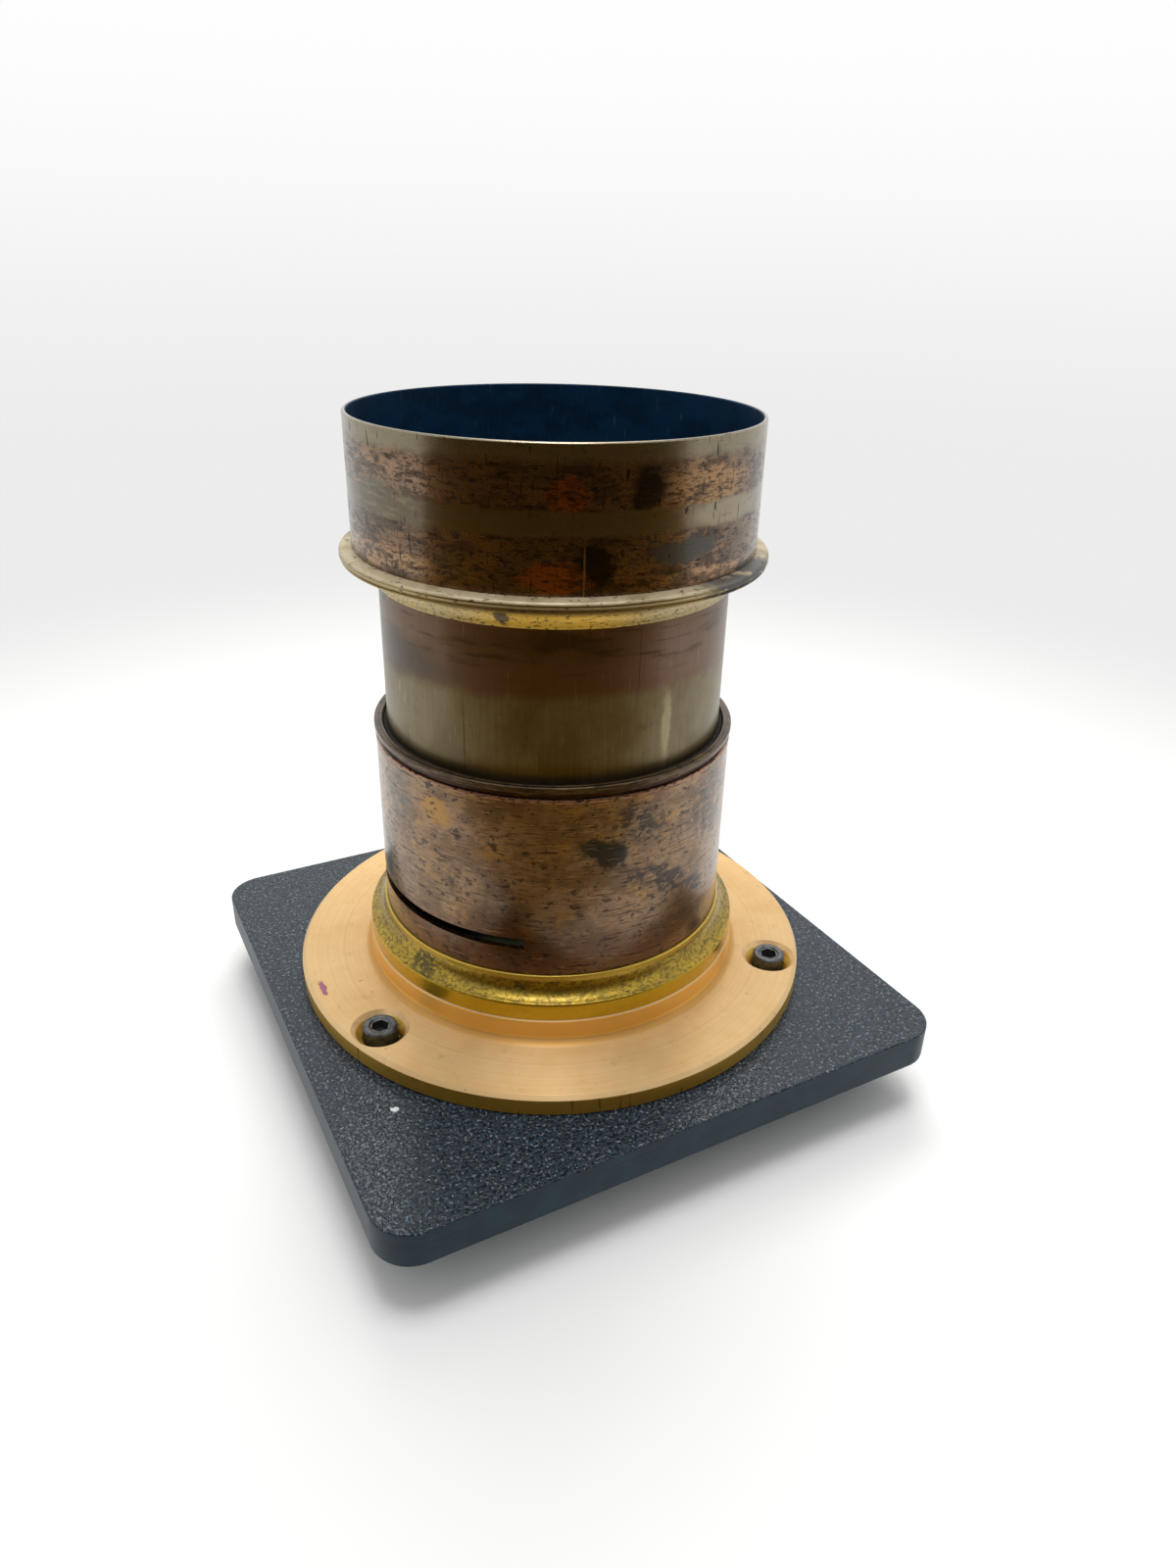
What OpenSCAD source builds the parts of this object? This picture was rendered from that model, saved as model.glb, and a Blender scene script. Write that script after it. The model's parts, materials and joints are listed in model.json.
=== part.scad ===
// Portrait lens in brass on a square lens board, lengths in millimetres.
// The optical axis is +Z towards the subject. The origin is on that axis, in the plane of
// the rear rim, on which the lens stands. X and Y lie along the edges of the board.

/* [Lens board] */
// Length of each side of the square board
board_side = 152.4; // [146:0.1:185]
// Thickness of the board
board_thick = 9.5; // [6:0.1:12]
// Radius of the board's corners
board_corner_r = 9.8; // [4:0.1:16]
// How far the board's middle lies from the lens axis along X
board_shift_x = -1.6; // [-3:0.1:3]
// How far the board's middle lies from the lens axis along Y
board_shift_y = -4.0; // [-5:0.1:3]
// Radial gap between the rear barrel and the hole in the board
board_hole_gap = 1.55; // [0.5:0.05:2]
// Height of the board's rear face above the plane of the rear rim
rear_reach = 15.3; // [14:0.1:24]

/* [Mounting flange] */
// Width of the flange's flat ring outside the boss
flange_width = 19.25; // [18:0.05:24]
// Thickness of the flange's flat ring
flange_thick = 5.4; // [5:0.1:8]
// Chamfer on the flange's outer edge
flange_chamfer = 1.0; // [0.3:0.1:1.6]
// Height of the boss above the board
boss_height = 12.0; // [10:0.1:20]
// Wall of the boss around its thread
boss_wall = 3.6; // [2.5:0.1:5]
// Chamfer on the boss's top edge
boss_chamfer = 0.5; // [0.2:0.1:1]
// Fillet between the boss and the flat ring
boss_fillet = 2.4; // [1:0.1:3]

/* [Flange screws] */
// Number of flange screws
screw_count = 3; // [3:1:6]
// Distance of the screws from the boss
screw_inset = 11.4; // [9:0.1:14]
// Azimuth of the first screw in degrees
screw_azimuth = -160; // [-180:1:180]
// Radius of the screw's shank
shank_r = 2.5; // [2:0.1:3]
// Length of the screw under its head
shank_length = 10; // [8:0.1:25]
// Radius of the screw's head
head_r = 4.35; // [3.6:0.05:4.6]
// Height of the screw's head
head_height = 5.0; // [3.5:0.1:6]
// Width across the flats of the head's hex socket
socket_flats = 4.0; // [3:0.1:5]
// Depth of the hex socket
socket_depth = 2.8; // [1.5:0.1:3.2]
// Height of the head's seat above the board
seat_height = 1.4; // [0.6:0.1:2]
// Radius of the countersink at the flange's face
countersink_r = 7.3; // [6:0.1:8]
// Radius of the washers
washer_r = 5.0; // [4.5:0.1:6]
// Thickness of the washers
washer_thick = 1.0; // [0.6:0.1:1.4]
// Width across the flats of the nuts
nut_flats = 8.0; // [7.5:0.1:9]
// Height of the nuts
nut_height = 4.0; // [3:0.1:4.4]
// Radius of the round pockets for washers and nuts in the board's rear face
pocket_r = 5.6; // [5.2:0.1:7]
// Board left between each pocket and the flange
pocket_floor = 3.5; // [2.5:0.1:5]

/* [Barrel] */
// Outer radius of the outer sleeve
sleeve_r = 45.6; // [38:0.1:55]
// Wall of the outer sleeve
sleeve_wall = 1.5; // [1.2:0.1:2]
// Length of the sleeve that shows above the base collar
sleeve_length = 47.0; // [39:0.1:70]
// Height of the base collar above the boss
collar_height = 10.0; // [8.5:0.1:14]
// Radius of the collar's hollow moulding
collar_cove_r = 4.6; // [3.5:0.1:5.5]
// How deep the sleeve sits in the base collar
sleeve_seat = 5.0; // [3:0.1:7]
// Wall of the threaded rear barrel
barrel_wall = 2.85; // [2:0.05:4]

/* [Stop slot] */
// Height of the slot that takes the stop plates
slot_height = 2.8; // [1.5:0.1:4]
// Height of the slot's middle above the base collar's top
slot_rise = 8.6; // [5:0.1:14]
// Distance from the lens axis to the slot's ends
slot_reach = 11.8; // [6:0.1:24]
// Azimuth that the slot opens to, in degrees
slot_azimuth = 160; // [-180:1:180]

/* [Sleeve rim] */
// Height of the rim ring above the sleeve
rim_height = 4.1; // [3.6:0.1:6]
// How far the rim stands out from the sleeve
rim_proud = 0.3; // [0.1:0.05:1]
// Length of the ring's spigot inside the sleeve
rim_spigot = 9.6; // [7:0.1:12]
// Gap between the rim's bore and the draw tube, filled by felt
felt_thick = 1.1; // [0.8:0.05:1.3]
// Length of the felt ring
felt_length = 11; // [6:0.1:13]

/* [Draw tube] */
// Wall of the draw tube
tube_wall = 1.4; // [1:0.1:2]
// Length of the draw tube
tube_length = 78.4; // [66:0.1:92]
// Length of tube that shows between the rim and the front collar
draw_out = 35.8; // [32:0.1:43]
// Wall of the guide ring at the tube's foot
guide_wall = 1.46; // [1:0.02:1.8]
// Height of the guide ring
guide_height = 6; // [4:0.1:10]
// Opening radius of the light baffle
baffle_r = 38.6; // [30:0.1:39]
// Height of the light baffle above the tube's foot
baffle_rise = 31; // [10:0.1:40]

/* [Front collar] */
// Radius of the collar's hollow moulding
front_cove_r = 4.4; // [3.8:0.1:5.5]
// Thickness of the collar's lower lip around the tube
lip_wall = 0.5; // [0.4:0.05:0.9]
// Height of each plain edge above and below the hollow
cove_edge = 0.4; // [0.3:0.05:0.8]
// Length of tube that the collar's socket holds
collar_socket = 4.0; // [3:0.1:4.6]
// Height of the spigot that holds the hood
hood_spigot = 7.0; // [5:0.1:9]

/* [Hood] */
// Wall of the hood
hood_wall = 1.03; // [0.8:0.01:1.5]
// Length of the hood
hood_length = 33.2; // [27:0.1:60]
// Height of the bead ring round the hood's foot
bead_height = 3.2; // [2.8:0.1:5]
// How far the bead stands out from the hood
bead_proud = 3.0; // [2.4:0.1:4]

/* [Front cell] */
// How deep the front cell's barrel drops into the draw tube
cell_drop = 12; // [11.8:0.1:20]
// Height of the front cell's head above its thread
cell_head = 2.6; // [1.5:0.1:4]
// Wall of the front cell around the glass
cell_wall = 2.4; // [1.6:0.1:3]
// Radius of curvature of the front glass's face
front_face_r = 110; // [100:1:180]
// Radius of curvature of the cemented face
cement_face_r = 130; // [120:1:200]
// Edge thickness of the front crown glass
front_crown_edge = 1.8; // [1.5:0.1:2.2]
// Thickness of the front flint glass at its middle
front_flint_mid = 2.5; // [2:0.1:2.8]

/* [Rear cell] */
// Height of the rear cell's grip
grip_height = 8; // [6:0.1:8.5]
// How far the grip stands out from the rear barrel
grip_proud = 1.25; // [0.5:0.05:1.4]
// Wall of the rear cell around the glass
rear_wall = 5.6; // [4:0.1:6.5]
// Length of the rear cell's thread
rear_thread = 12; // [8:0.1:13]
// Height of the rear glass's seat above the rear rim
rear_seat = 9; // [8:0.1:9.5]
// Edge thickness of the rear crown glass
rear_crown_edge = 3; // [2:0.1:3.5]
// Radius of curvature of the rear crown's front face
rear_crown_r = 120; // [110:1:160]
// Radius of curvature of the flint's hollow face
rear_flint_r = 115; // [105:1:150]
// Radius of curvature of the two flattest rear faces
rear_flat_r = 260; // [200:5:400]
// Thickness of the rear flint glass at its middle
rear_flint_mid = 2.3; // [2:0.1:2.6]
// Height of the spacer between the rear glasses
spacer_height = 3.2; // [2:0.1:3.6]

/* [Hidden] */

$fn = 128;
glass_fn = 240;        // facets of the large lens spheres
arc_steps = 10;        // steps in each turned moulding's arc
cut = 1;               // how far a cutting shape runs past a face

// Clearances
fit = 0.05;            // radial gap of a sliding or threaded fit
solder = 0.03;         // radial gap of a soldered or pressed joint
screw_gap = 0.25;      // radial gap round a screw's shank
head_gap = 0.35;       // radial gap round a screw's head
cement = 0.03;         // gap between two cemented glasses
glass_flat = 0.4;      // width of the flat ground on the rim of a hollow glass face
break_edge = 0.3;      // small chamfer that breaks a turned edge
cell_gap = 0.25;       // radial gap between the front cell's barrel and the tube
cell_head_gap = 0.6;   // radial gap between the front cell's head and the hood

// Thin walls and steps of the turned pieces
collar_lip = 0.7;      // wall of the base collar's upper lip
collar_edge = 0.35;    // step from the collar's hollow to its band
collar_cove_sweep = 78;  // degrees of arc in the collar's hollow
rim_wall = 1.15;       // wall of the rim ring's spigot
felt_sink = 0.7;       // depth of the felt below the rim's top
shoulder_step = 0.45;  // step on which the hood's foot stands
hood_foot_wall = 0.48; // wall of the hood's foot, turned down to take the bead
spigot_wall = 1.6;     // wall of the front collar's spigot, with its thread gap
seat_rise = 1.1;       // height of the front cell's seat above the hood's foot
cell_lip = 1.2;        // thickness of the lip under the front glasses
cell_lip_width = 2;    // how far that lip reaches in
head_flat = 1.6;       // width of the front cell's flat front edge
front_ring_height = 2.8;
front_ring_wall = 1.5;
rear_step = 0.95;      // step between the barrel's bore and the rear cell's thread
thread_relief = 2;     // bore left plain past the rear cell's thread
neck_wall = 2.4;       // wall of the rear cell's upper end
aperture_step = 1.5;   // how far the rear glass's seat reaches in
seat_thick = 2;        // thickness of that seat before the mouth widens
foot_width = 4.2;      // width of the flat rear rim
spacer_wall = 1.6;
rear_ring_height = 1.8;
rear_ring_wall = 1.4;
ring_stand = 0.2;      // rear cell's wall above its retaining ring
thread_runout = 0.4;   // depth left free under the rim ring's spigot

// Radii, from the sleeve inwards and outwards
sleeve_bore = sleeve_r - sleeve_wall;
guide_r = sleeve_bore - fit;
tube_r = guide_r - guide_wall - solder;
tube_bore = tube_r - tube_wall;
thread_r = sleeve_bore + barrel_wall;
flange_bore = thread_r + fit;
boss_r = flange_bore + boss_wall;
flange_r = boss_r + flange_width;
screw_circle_r = boss_r + screw_inset;
board_hole_r = thread_r + board_hole_gap;
collar_lip_r = sleeve_r + collar_lip;
collar_foot_r = collar_lip_r + collar_cove_r * (1 - cos(collar_cove_sweep));
collar_band_r = collar_foot_r + collar_edge;
rim_bore = tube_r + felt_thick;
rim_spigot_r = rim_bore + rim_wall;
rim_r = sleeve_r + rim_proud;
lip_r = tube_r + solder + lip_wall;
front_shoulder_r = lip_r + front_cove_r;
spigot_r = front_shoulder_r - shoulder_step;
hood_bore = spigot_r + fit;
hood_r = hood_bore + hood_wall;
hood_foot_r = hood_bore + hood_foot_wall;
bead_r = hood_r + bead_proud;
cell_barrel_r = tube_bore - cell_gap;
collar_bore = cell_barrel_r + fit;
cell_thread_r = spigot_r - spigot_wall;
cell_head_r = hood_bore - cell_head_gap;
front_glass_bore = cell_barrel_r - cell_wall;
front_glass_r = front_glass_bore - fit;
rear_thread_r = sleeve_bore - rear_step;
rear_glass_bore = rear_thread_r - rear_wall;
rear_glass_r = rear_glass_bore - fit;
rear_neck_r = rear_glass_bore + neck_wall;
grip_r = thread_r + grip_proud;

// Heights above the plane of the rear rim
board_z = rear_reach;
flange_z = board_z + board_thick;
flange_top_z = flange_z + flange_thick;
boss_top_z = flange_z + boss_height;
collar_top_z = boss_top_z + collar_height;
sleeve_top_z = collar_top_z + sleeve_length;
rim_top_z = sleeve_top_z + rim_height;
lip_z = rim_top_z + draw_out;
tube_top_z = lip_z + collar_socket;
tube_foot_z = tube_top_z - tube_length;
shoulder_z = lip_z + front_cove_r + 2 * cove_edge;
cell_seat_z = shoulder_z + seat_rise;
spigot_top_z = shoulder_z + hood_spigot;
hood_z = shoulder_z + fit;
hood_top_z = hood_z + hood_length;
bead_top_z = hood_z + bead_height;
seat_z = flange_z + seat_height;
pocket_top_z = flange_z - pocket_floor;
washer_z = pocket_top_z - washer_thick;
nut_z = washer_z - nut_height;

// How far a spherical face stands in over a glass of the given radius
function sagitta(face_r, edge_r) = face_r - sqrt(face_r * face_r - edge_r * edge_r);

// How far such a face rises from its edge to a smaller radius, where a ring bears on it
function rise(face_r, edge_r, inner_r) = sagitta(face_r, edge_r) - sagitta(face_r, inner_r);

// Front glasses: seat, joint between them and front edge
cell_foot_z = cell_seat_z - cell_drop;
flint_seat_z = cell_foot_z + cell_lip;
cement_sag = sagitta(cement_face_r, front_glass_r - glass_flat);
cement_mid_z = flint_seat_z + front_flint_mid;
cement_edge_z = cement_mid_z + cement_sag;
crown_edge_z = cement_edge_z + front_crown_edge;
front_ring_r = front_glass_r - front_ring_wall;
front_ring_z = crown_edge_z + rise(front_face_r, front_glass_r, front_ring_r);
front_ring_top_z = crown_edge_z + front_ring_height;
cell_top_z = spigot_top_z + cell_head;

// Rear glasses: crown, spacer, flint and ring, from the rear rim upwards
aperture_r = rear_glass_r - aperture_step;
rear_crown_foot_z = rear_seat + rise(rear_flat_r, rear_glass_r, aperture_r);
rear_crown_z = rear_crown_foot_z + rear_crown_edge;
spacer_r = rear_glass_r - spacer_wall;
spacer_z = rear_crown_z + rise(rear_crown_r, rear_glass_r, spacer_r);
rear_flint_z = rear_crown_z + spacer_height;
rear_hollow_mid_z = rear_flint_z + sagitta(rear_flint_r, rear_glass_r - glass_flat);
rear_flint_mid_z = rear_hollow_mid_z + rear_flint_mid;
rear_flint_edge_z = rear_flint_mid_z - sagitta(rear_flat_r, rear_glass_r);
rear_ring_r = rear_glass_r - rear_ring_wall;
rear_ring_z = rear_flint_edge_z + rise(rear_flat_r, rear_glass_r, rear_ring_r);
rear_ring_top_z = rear_flint_edge_z + rear_ring_height;
rear_cell_top_z = rear_ring_top_z + ring_stand;
rear_thread_top_z = grip_height + rear_thread;

// Points of an arc in the profile plane, from angle a0 to angle a1
function arc(centre_r, centre_z, r, a0, a1) = [
    for (i = [0 : arc_steps])
        let (a = a0 + (a1 - a0) * i / arc_steps)
            [centre_r + r * cos(a), centre_z + r * sin(a)]
];

// A solid turned about the lens axis from a closed profile of [radius, height] points
module turned(profile) {
    rotate_extrude()
        polygon(profile);
}

// A plain ring between two heights
module ring(outer_r, inner_r, z0, z1) {
    translate([0, 0, z0])
        difference() {
            cylinder(h = z1 - z0, r = outer_r);
            translate([0, 0, -cut])
                cylinder(h = z1 - z0 + 2 * cut, r = inner_r);
        }
}

// Children repeated at each flange screw
module at_screws() {
    for (i = [0 : screw_count - 1])
        rotate([0, 0, screw_azimuth + i * 360 / screw_count])
            translate([screw_circle_r, 0, 0])
                children();
}

module rounded_board() {
    inner = board_side / 2 - board_corner_r;
    translate([board_shift_x, board_shift_y, board_z]) {
        for (turn = [0, 90])
            rotate([0, 0, turn])
                translate([-board_side / 2, -inner, 0])
                    cube([board_side, 2 * inner, board_thick]);
        for (sx = [-1, 1], sy = [-1, 1])
            translate([sx * inner, sy * inner, 0])
                cylinder(h = board_thick, r = board_corner_r);
    }
}

module lens_board() {
    color("#1d1f24")
        difference() {
            rounded_board();
            translate([0, 0, board_z - cut])
                cylinder(h = board_thick + 2 * cut, r = board_hole_r);
            at_screws() {
                translate([0, 0, board_z - cut])
                    cylinder(h = board_thick + 2 * cut, r = shank_r + screw_gap);
                translate([0, 0, board_z - cut])
                    cylinder(h = pocket_top_z - board_z + cut, r = pocket_r);
            }
        }
}

// Hole for one screw: shank, flat seat for the head and a wide 90 degree countersink
module screw_hole() {
    bore_r = head_r + head_gap;
    cone_depth = countersink_r - bore_r;
    translate([0, 0, flange_z - cut])
        cylinder(h = seat_height + 2 * cut, r = shank_r + screw_gap);
    translate([0, 0, seat_z])
        cylinder(h = flange_thick, r = bore_r);
    translate([0, 0, flange_top_z - cone_depth])
        cylinder(h = cone_depth + cut, r1 = bore_r, r2 = countersink_r + cut);
}

module mounting_flange() {
    color("#c9a06e")
        difference() {
            turned(concat(
                [
                    [flange_bore, flange_z],
                    [flange_r, flange_z],
                    [flange_r, flange_top_z - flange_chamfer],
                    [flange_r - flange_chamfer, flange_top_z]
                ],
                arc(boss_r + boss_fillet, flange_top_z + boss_fillet, boss_fillet, 270, 180),
                [
                    [boss_r, boss_top_z - boss_chamfer],
                    [boss_r - boss_chamfer, boss_top_z],
                    [flange_bore, boss_top_z]
                ]
            ));
            at_screws()
                screw_hole();
        }
}

module flange_screws() {
    shank_z = seat_z - shank_length;
    color("#26262a")
        at_screws()
            difference() {
                turned([
                    [0, shank_z],
                    [shank_r - break_edge, shank_z],
                    [shank_r, shank_z + break_edge],
                    [shank_r, seat_z],
                    [head_r, seat_z],
                    [head_r, seat_z + head_height - break_edge],
                    [head_r - break_edge, seat_z + head_height],
                    [0, seat_z + head_height]
                ]);
                translate([0, 0, seat_z + head_height - socket_depth])
                    cylinder(h = socket_depth + cut, r = socket_flats / 2 / cos(30), $fn = 6);
            }
}

module flange_washers() {
    color("#8d8f92")
        at_screws()
            ring(washer_r, shank_r + screw_gap, washer_z, pocket_top_z);
}

module flange_nuts() {
    color("#9a9c9f")
        at_screws()
            translate([0, 0, nut_z])
                difference() {
                    cylinder(h = nut_height, r = nut_flats / 2 / cos(30), $fn = 6);
                    translate([0, 0, -cut])
                        cylinder(h = nut_height + 2 * cut, r = shank_r + fit);
                }
}

// Threaded rear barrel with the moulded collar that seats on the flange's boss
module base_collar() {
    lip_height = 1;
    bead_drop = 0.6;
    cove_z = collar_top_z - lip_height;
    foot_z = cove_z - collar_cove_r * sin(collar_cove_sweep);
    socket_z = collar_top_z - sleeve_seat;
    bore_step_z = rear_thread_top_z + thread_relief;
    color("#b08a3c")
        turned(concat(
            [
                [rear_thread_r + fit, grip_height],
                [thread_r - break_edge, grip_height],
                [thread_r, grip_height + break_edge],
                [thread_r, boss_top_z],
                [collar_band_r, boss_top_z],
                [collar_band_r, foot_z - bead_drop],
                [collar_band_r - collar_edge / 3, foot_z - bead_drop / 3]
            ],
            arc(collar_lip_r + collar_cove_r, cove_z, collar_cove_r,
                270 - (90 - collar_cove_sweep), 180),
            [
                [collar_lip_r, collar_top_z - break_edge],
                [collar_lip_r - break_edge, collar_top_z],
                [sleeve_r + solder, collar_top_z],
                [sleeve_r + solder, socket_z],
                [sleeve_bore, socket_z],
                [sleeve_bore, bore_step_z],
                [rear_thread_r + fit, bore_step_z]
            ]
        ));
}

module outer_sleeve() {
    foot_z = collar_top_z - sleeve_seat;
    spigot_depth = rim_spigot + thread_runout;
    slot_z = collar_top_z + slot_rise;
    color("#7d5f3f")
        difference() {
            ring(sleeve_r, sleeve_bore, foot_z, sleeve_top_z);
            translate([0, 0, sleeve_top_z - spigot_depth])
                cylinder(h = spigot_depth + cut, r = rim_spigot_r + fit);
            rotate([0, 0, slot_azimuth])
                translate([slot_reach, -sleeve_r - cut, slot_z - slot_height / 2])
                    cube([sleeve_r, 2 * (sleeve_r + cut), slot_height]);
        }
}

// Screwed ring at the sleeve's mouth, with a foot, a groove and a band
module sleeve_rim() {
    foot_height = 1.1;
    band_height = 1.6;
    groove_r = sleeve_r - 0.7;
    foot_bulge = 0.1;
    color("#5a4630")
        turned([
            [rim_bore, sleeve_top_z - rim_spigot],
            [rim_spigot_r, sleeve_top_z - rim_spigot],
            [rim_spigot_r, sleeve_top_z],
            [sleeve_r, sleeve_top_z],
            [sleeve_r + foot_bulge, sleeve_top_z + break_edge],
            [sleeve_r, sleeve_top_z + foot_height - break_edge],
            [groove_r, sleeve_top_z + foot_height],
            [groove_r, rim_top_z - band_height],
            [rim_r - break_edge / 2, rim_top_z - band_height],
            [rim_r, rim_top_z - band_height + break_edge / 2],
            [rim_r, rim_top_z - break_edge],
            [rim_r - break_edge, rim_top_z],
            [rim_bore + break_edge, rim_top_z],
            [rim_bore, rim_top_z - break_edge]
        ]);
}

module felt_ring() {
    top_z = rim_top_z - felt_sink;
    color("#15161a")
        ring(rim_bore - solder, tube_r + fit, top_z - felt_length, top_z);
}

module rear_cell() {
    color("#a8843a")
        turned([
            [grip_r - foot_width, 0],
            [grip_r, 0],
            [grip_r, grip_height - break_edge],
            [grip_r - break_edge, grip_height],
            [rear_thread_r, grip_height],
            [rear_thread_r, rear_thread_top_z],
            [rear_neck_r, rear_thread_top_z],
            [rear_neck_r, rear_cell_top_z],
            [rear_glass_bore, rear_cell_top_z],
            [rear_glass_bore, rear_seat],
            [aperture_r, rear_seat],
            [aperture_r, rear_seat - seat_thick]
        ]);
}

// A ball that reaches up to height z
module ball_below(face_r, z) {
    translate([0, 0, z - face_r])
        sphere(r = face_r, $fn = glass_fn);
}

// A ball that reaches down to height z
module ball_above(face_r, z) {
    translate([0, 0, z + face_r])
        sphere(r = face_r, $fn = glass_fn);
}

module rear_crown_glass() {
    front_mid_z = rear_crown_z + sagitta(rear_crown_r, rear_glass_r);
    rear_mid_z = rear_crown_foot_z - sagitta(rear_flat_r, rear_glass_r);
    color("#cfe0dc", 0.35)
        intersection() {
            translate([0, 0, rear_mid_z])
                cylinder(h = front_mid_z - rear_mid_z, r = rear_glass_r);
            ball_below(rear_crown_r, front_mid_z);
            ball_above(rear_flat_r, rear_mid_z);
        }
}

module rear_spacer_ring() {
    color("#222326")
        ring(rear_glass_r, spacer_r, spacer_z, rear_flint_z);
}

module rear_flint_glass() {
    color("#d5e4dc", 0.35)
        difference() {
            intersection() {
                translate([0, 0, rear_flint_z])
                    cylinder(h = rear_flint_mid_z - rear_flint_z, r = rear_glass_r);
                ball_below(rear_flat_r, rear_flint_mid_z);
            }
            ball_below(rear_flint_r, rear_hollow_mid_z);
        }
}

module rear_retaining_ring() {
    color("#2a2a2c")
        ring(rear_glass_r, rear_ring_r, rear_ring_z, rear_ring_top_z);
}

module draw_tube() {
    color("#5d4a26")
        ring(tube_r, tube_bore, tube_foot_z, tube_top_z);
}

// Ring soldered on the tube's foot: it runs in the sleeve and stops the tube at the rim
module tube_guide_ring() {
    color("#97773c")
        turned([
            [tube_r + solder, tube_foot_z],
            [guide_r - break_edge, tube_foot_z],
            [guide_r, tube_foot_z + break_edge],
            [guide_r, tube_foot_z + guide_height - break_edge],
            [guide_r - break_edge, tube_foot_z + guide_height],
            [tube_r + solder, tube_foot_z + guide_height]
        ]);
}

// Blackened light stop: a flat ring on a short skirt inside the draw tube
module tube_baffle() {
    skirt_r = tube_bore - solder;
    skirt_wall = 0.8;
    skirt_height = 6;
    plate = 0.8;
    z0 = tube_foot_z + baffle_rise;
    color("#18181a")
        turned([
            [baffle_r, z0],
            [skirt_r, z0],
            [skirt_r, z0 + skirt_height],
            [skirt_r - skirt_wall, z0 + skirt_height],
            [skirt_r - skirt_wall, z0 + plate],
            [baffle_r, z0 + plate]
        ]);
}

// Collar with a hollow moulding that screws on the tube and carries cell and hood
module front_collar() {
    color("#c79b33")
        turned(concat(
            [
                [tube_r + solder, lip_z],
                [lip_r, lip_z]
            ],
            arc(front_shoulder_r, lip_z + cove_edge, front_cove_r, 180, 90),
            [
                [front_shoulder_r, shoulder_z],
                [spigot_r, shoulder_z],
                [spigot_r, spigot_top_z - break_edge],
                [spigot_r - break_edge, spigot_top_z],
                [cell_thread_r + fit, spigot_top_z],
                [cell_thread_r + fit, cell_seat_z],
                [collar_bore, cell_seat_z],
                [collar_bore, tube_top_z],
                [tube_r + solder, tube_top_z]
            ]
        ));
}

module front_cell() {
    lip_bore = front_glass_bore - cell_lip_width;
    color("#8a6d35")
        turned([
            [lip_bore, cell_foot_z],
            [cell_barrel_r - break_edge, cell_foot_z],
            [cell_barrel_r, cell_foot_z + break_edge],
            [cell_barrel_r, cell_seat_z],
            [cell_thread_r, cell_seat_z],
            [cell_thread_r, spigot_top_z],
            [cell_head_r, spigot_top_z],
            [cell_head_r, cell_top_z - break_edge],
            [cell_head_r - break_edge, cell_top_z],
            [cell_head_r - head_flat, cell_top_z],
            [front_glass_bore, front_ring_top_z],
            [front_glass_bore, flint_seat_z],
            [lip_bore, flint_seat_z]
        ]);
}

module front_flint_glass() {
    color("#d5e4dc", 0.35)
        difference() {
            translate([0, 0, flint_seat_z])
                cylinder(h = cement_edge_z - flint_seat_z, r = front_glass_r);
            ball_above(cement_face_r, cement_mid_z);
        }
}

module front_crown_glass() {
    rear_mid_z = cement_mid_z + cement;
    front_mid_z = crown_edge_z + sagitta(front_face_r, front_glass_r);
    color("#cfe0dc", 0.35)
        intersection() {
            translate([0, 0, rear_mid_z])
                cylinder(h = front_mid_z - rear_mid_z, r = front_glass_r);
            ball_below(front_face_r, front_mid_z);
            ball_above(cement_face_r, rear_mid_z);
        }
}

module front_retaining_ring() {
    color("#2a2a2c")
        ring(front_glass_r, front_ring_r, front_ring_z, front_ring_top_z);
}

// Plain tube whose foot is turned down, so that it shoulders on the bead
module lens_hood() {
    edge = hood_wall / 4;
    color("#6b5c48")
        turned([
            [hood_bore, hood_z],
            [hood_foot_r, hood_z],
            [hood_foot_r, bead_top_z],
            [hood_r, bead_top_z],
            [hood_r, hood_top_z - edge],
            [hood_r - edge, hood_top_z],
            [hood_bore + edge, hood_top_z],
            [hood_bore, hood_top_z - edge]
        ]);
}

// Turned bead soldered round the hood's foot: fillet, fine groove and a rolled band
module hood_bead() {
    foot_flat = 1.5;       // from the underside's flat to the band
    fillet_r = 0.25;
    fillet_centre_r = bead_r - 0.55;
    fillet_z = hood_z + 0.65;
    groove_r = bead_r - 0.7;
    groove_z = hood_z + 1.1;
    groove_height = 0.1;
    roll_r = 0.8;
    roll_edge = 0.15;      // small step from the groove up to the band
    top_slope = 0.3;       // fall of the bead's upper face towards the band
    color("#8f8058")
        turned(concat(
            [
                [hood_foot_r + solder, hood_z],
                [bead_r - foot_flat, hood_z],
                [fillet_centre_r, fillet_z - fillet_r]
            ],
            arc(fillet_centre_r, fillet_z, fillet_r, -70, 80),
            [
                [groove_r, groove_z],
                [groove_r, groove_z + groove_height],
                [bead_r - roll_edge, groove_z + groove_height],
                [bead_r, groove_z + groove_height + roll_edge]
            ],
            arc(bead_r - roll_r, bead_top_z - top_slope - roll_r, roll_r, 0, 80),
            [
                [hood_r, bead_top_z],
                [hood_foot_r + solder, bead_top_z]
            ]
        ));
}

lens_board();
mounting_flange();
flange_screws();
flange_washers();
flange_nuts();
base_collar();
outer_sleeve();
sleeve_rim();
felt_ring();
rear_cell();
rear_crown_glass();
rear_spacer_ring();
rear_flint_glass();
rear_retaining_ring();
draw_tube();
tube_guide_ring();
tube_baffle();
front_collar();
front_cell();
front_flint_glass();
front_crown_glass();
front_retaining_ring();
lens_hood();
hood_bead();
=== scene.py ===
import json
import math

import bmesh
import bpy
from mathutils import Euler, Matrix, Vector


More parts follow.
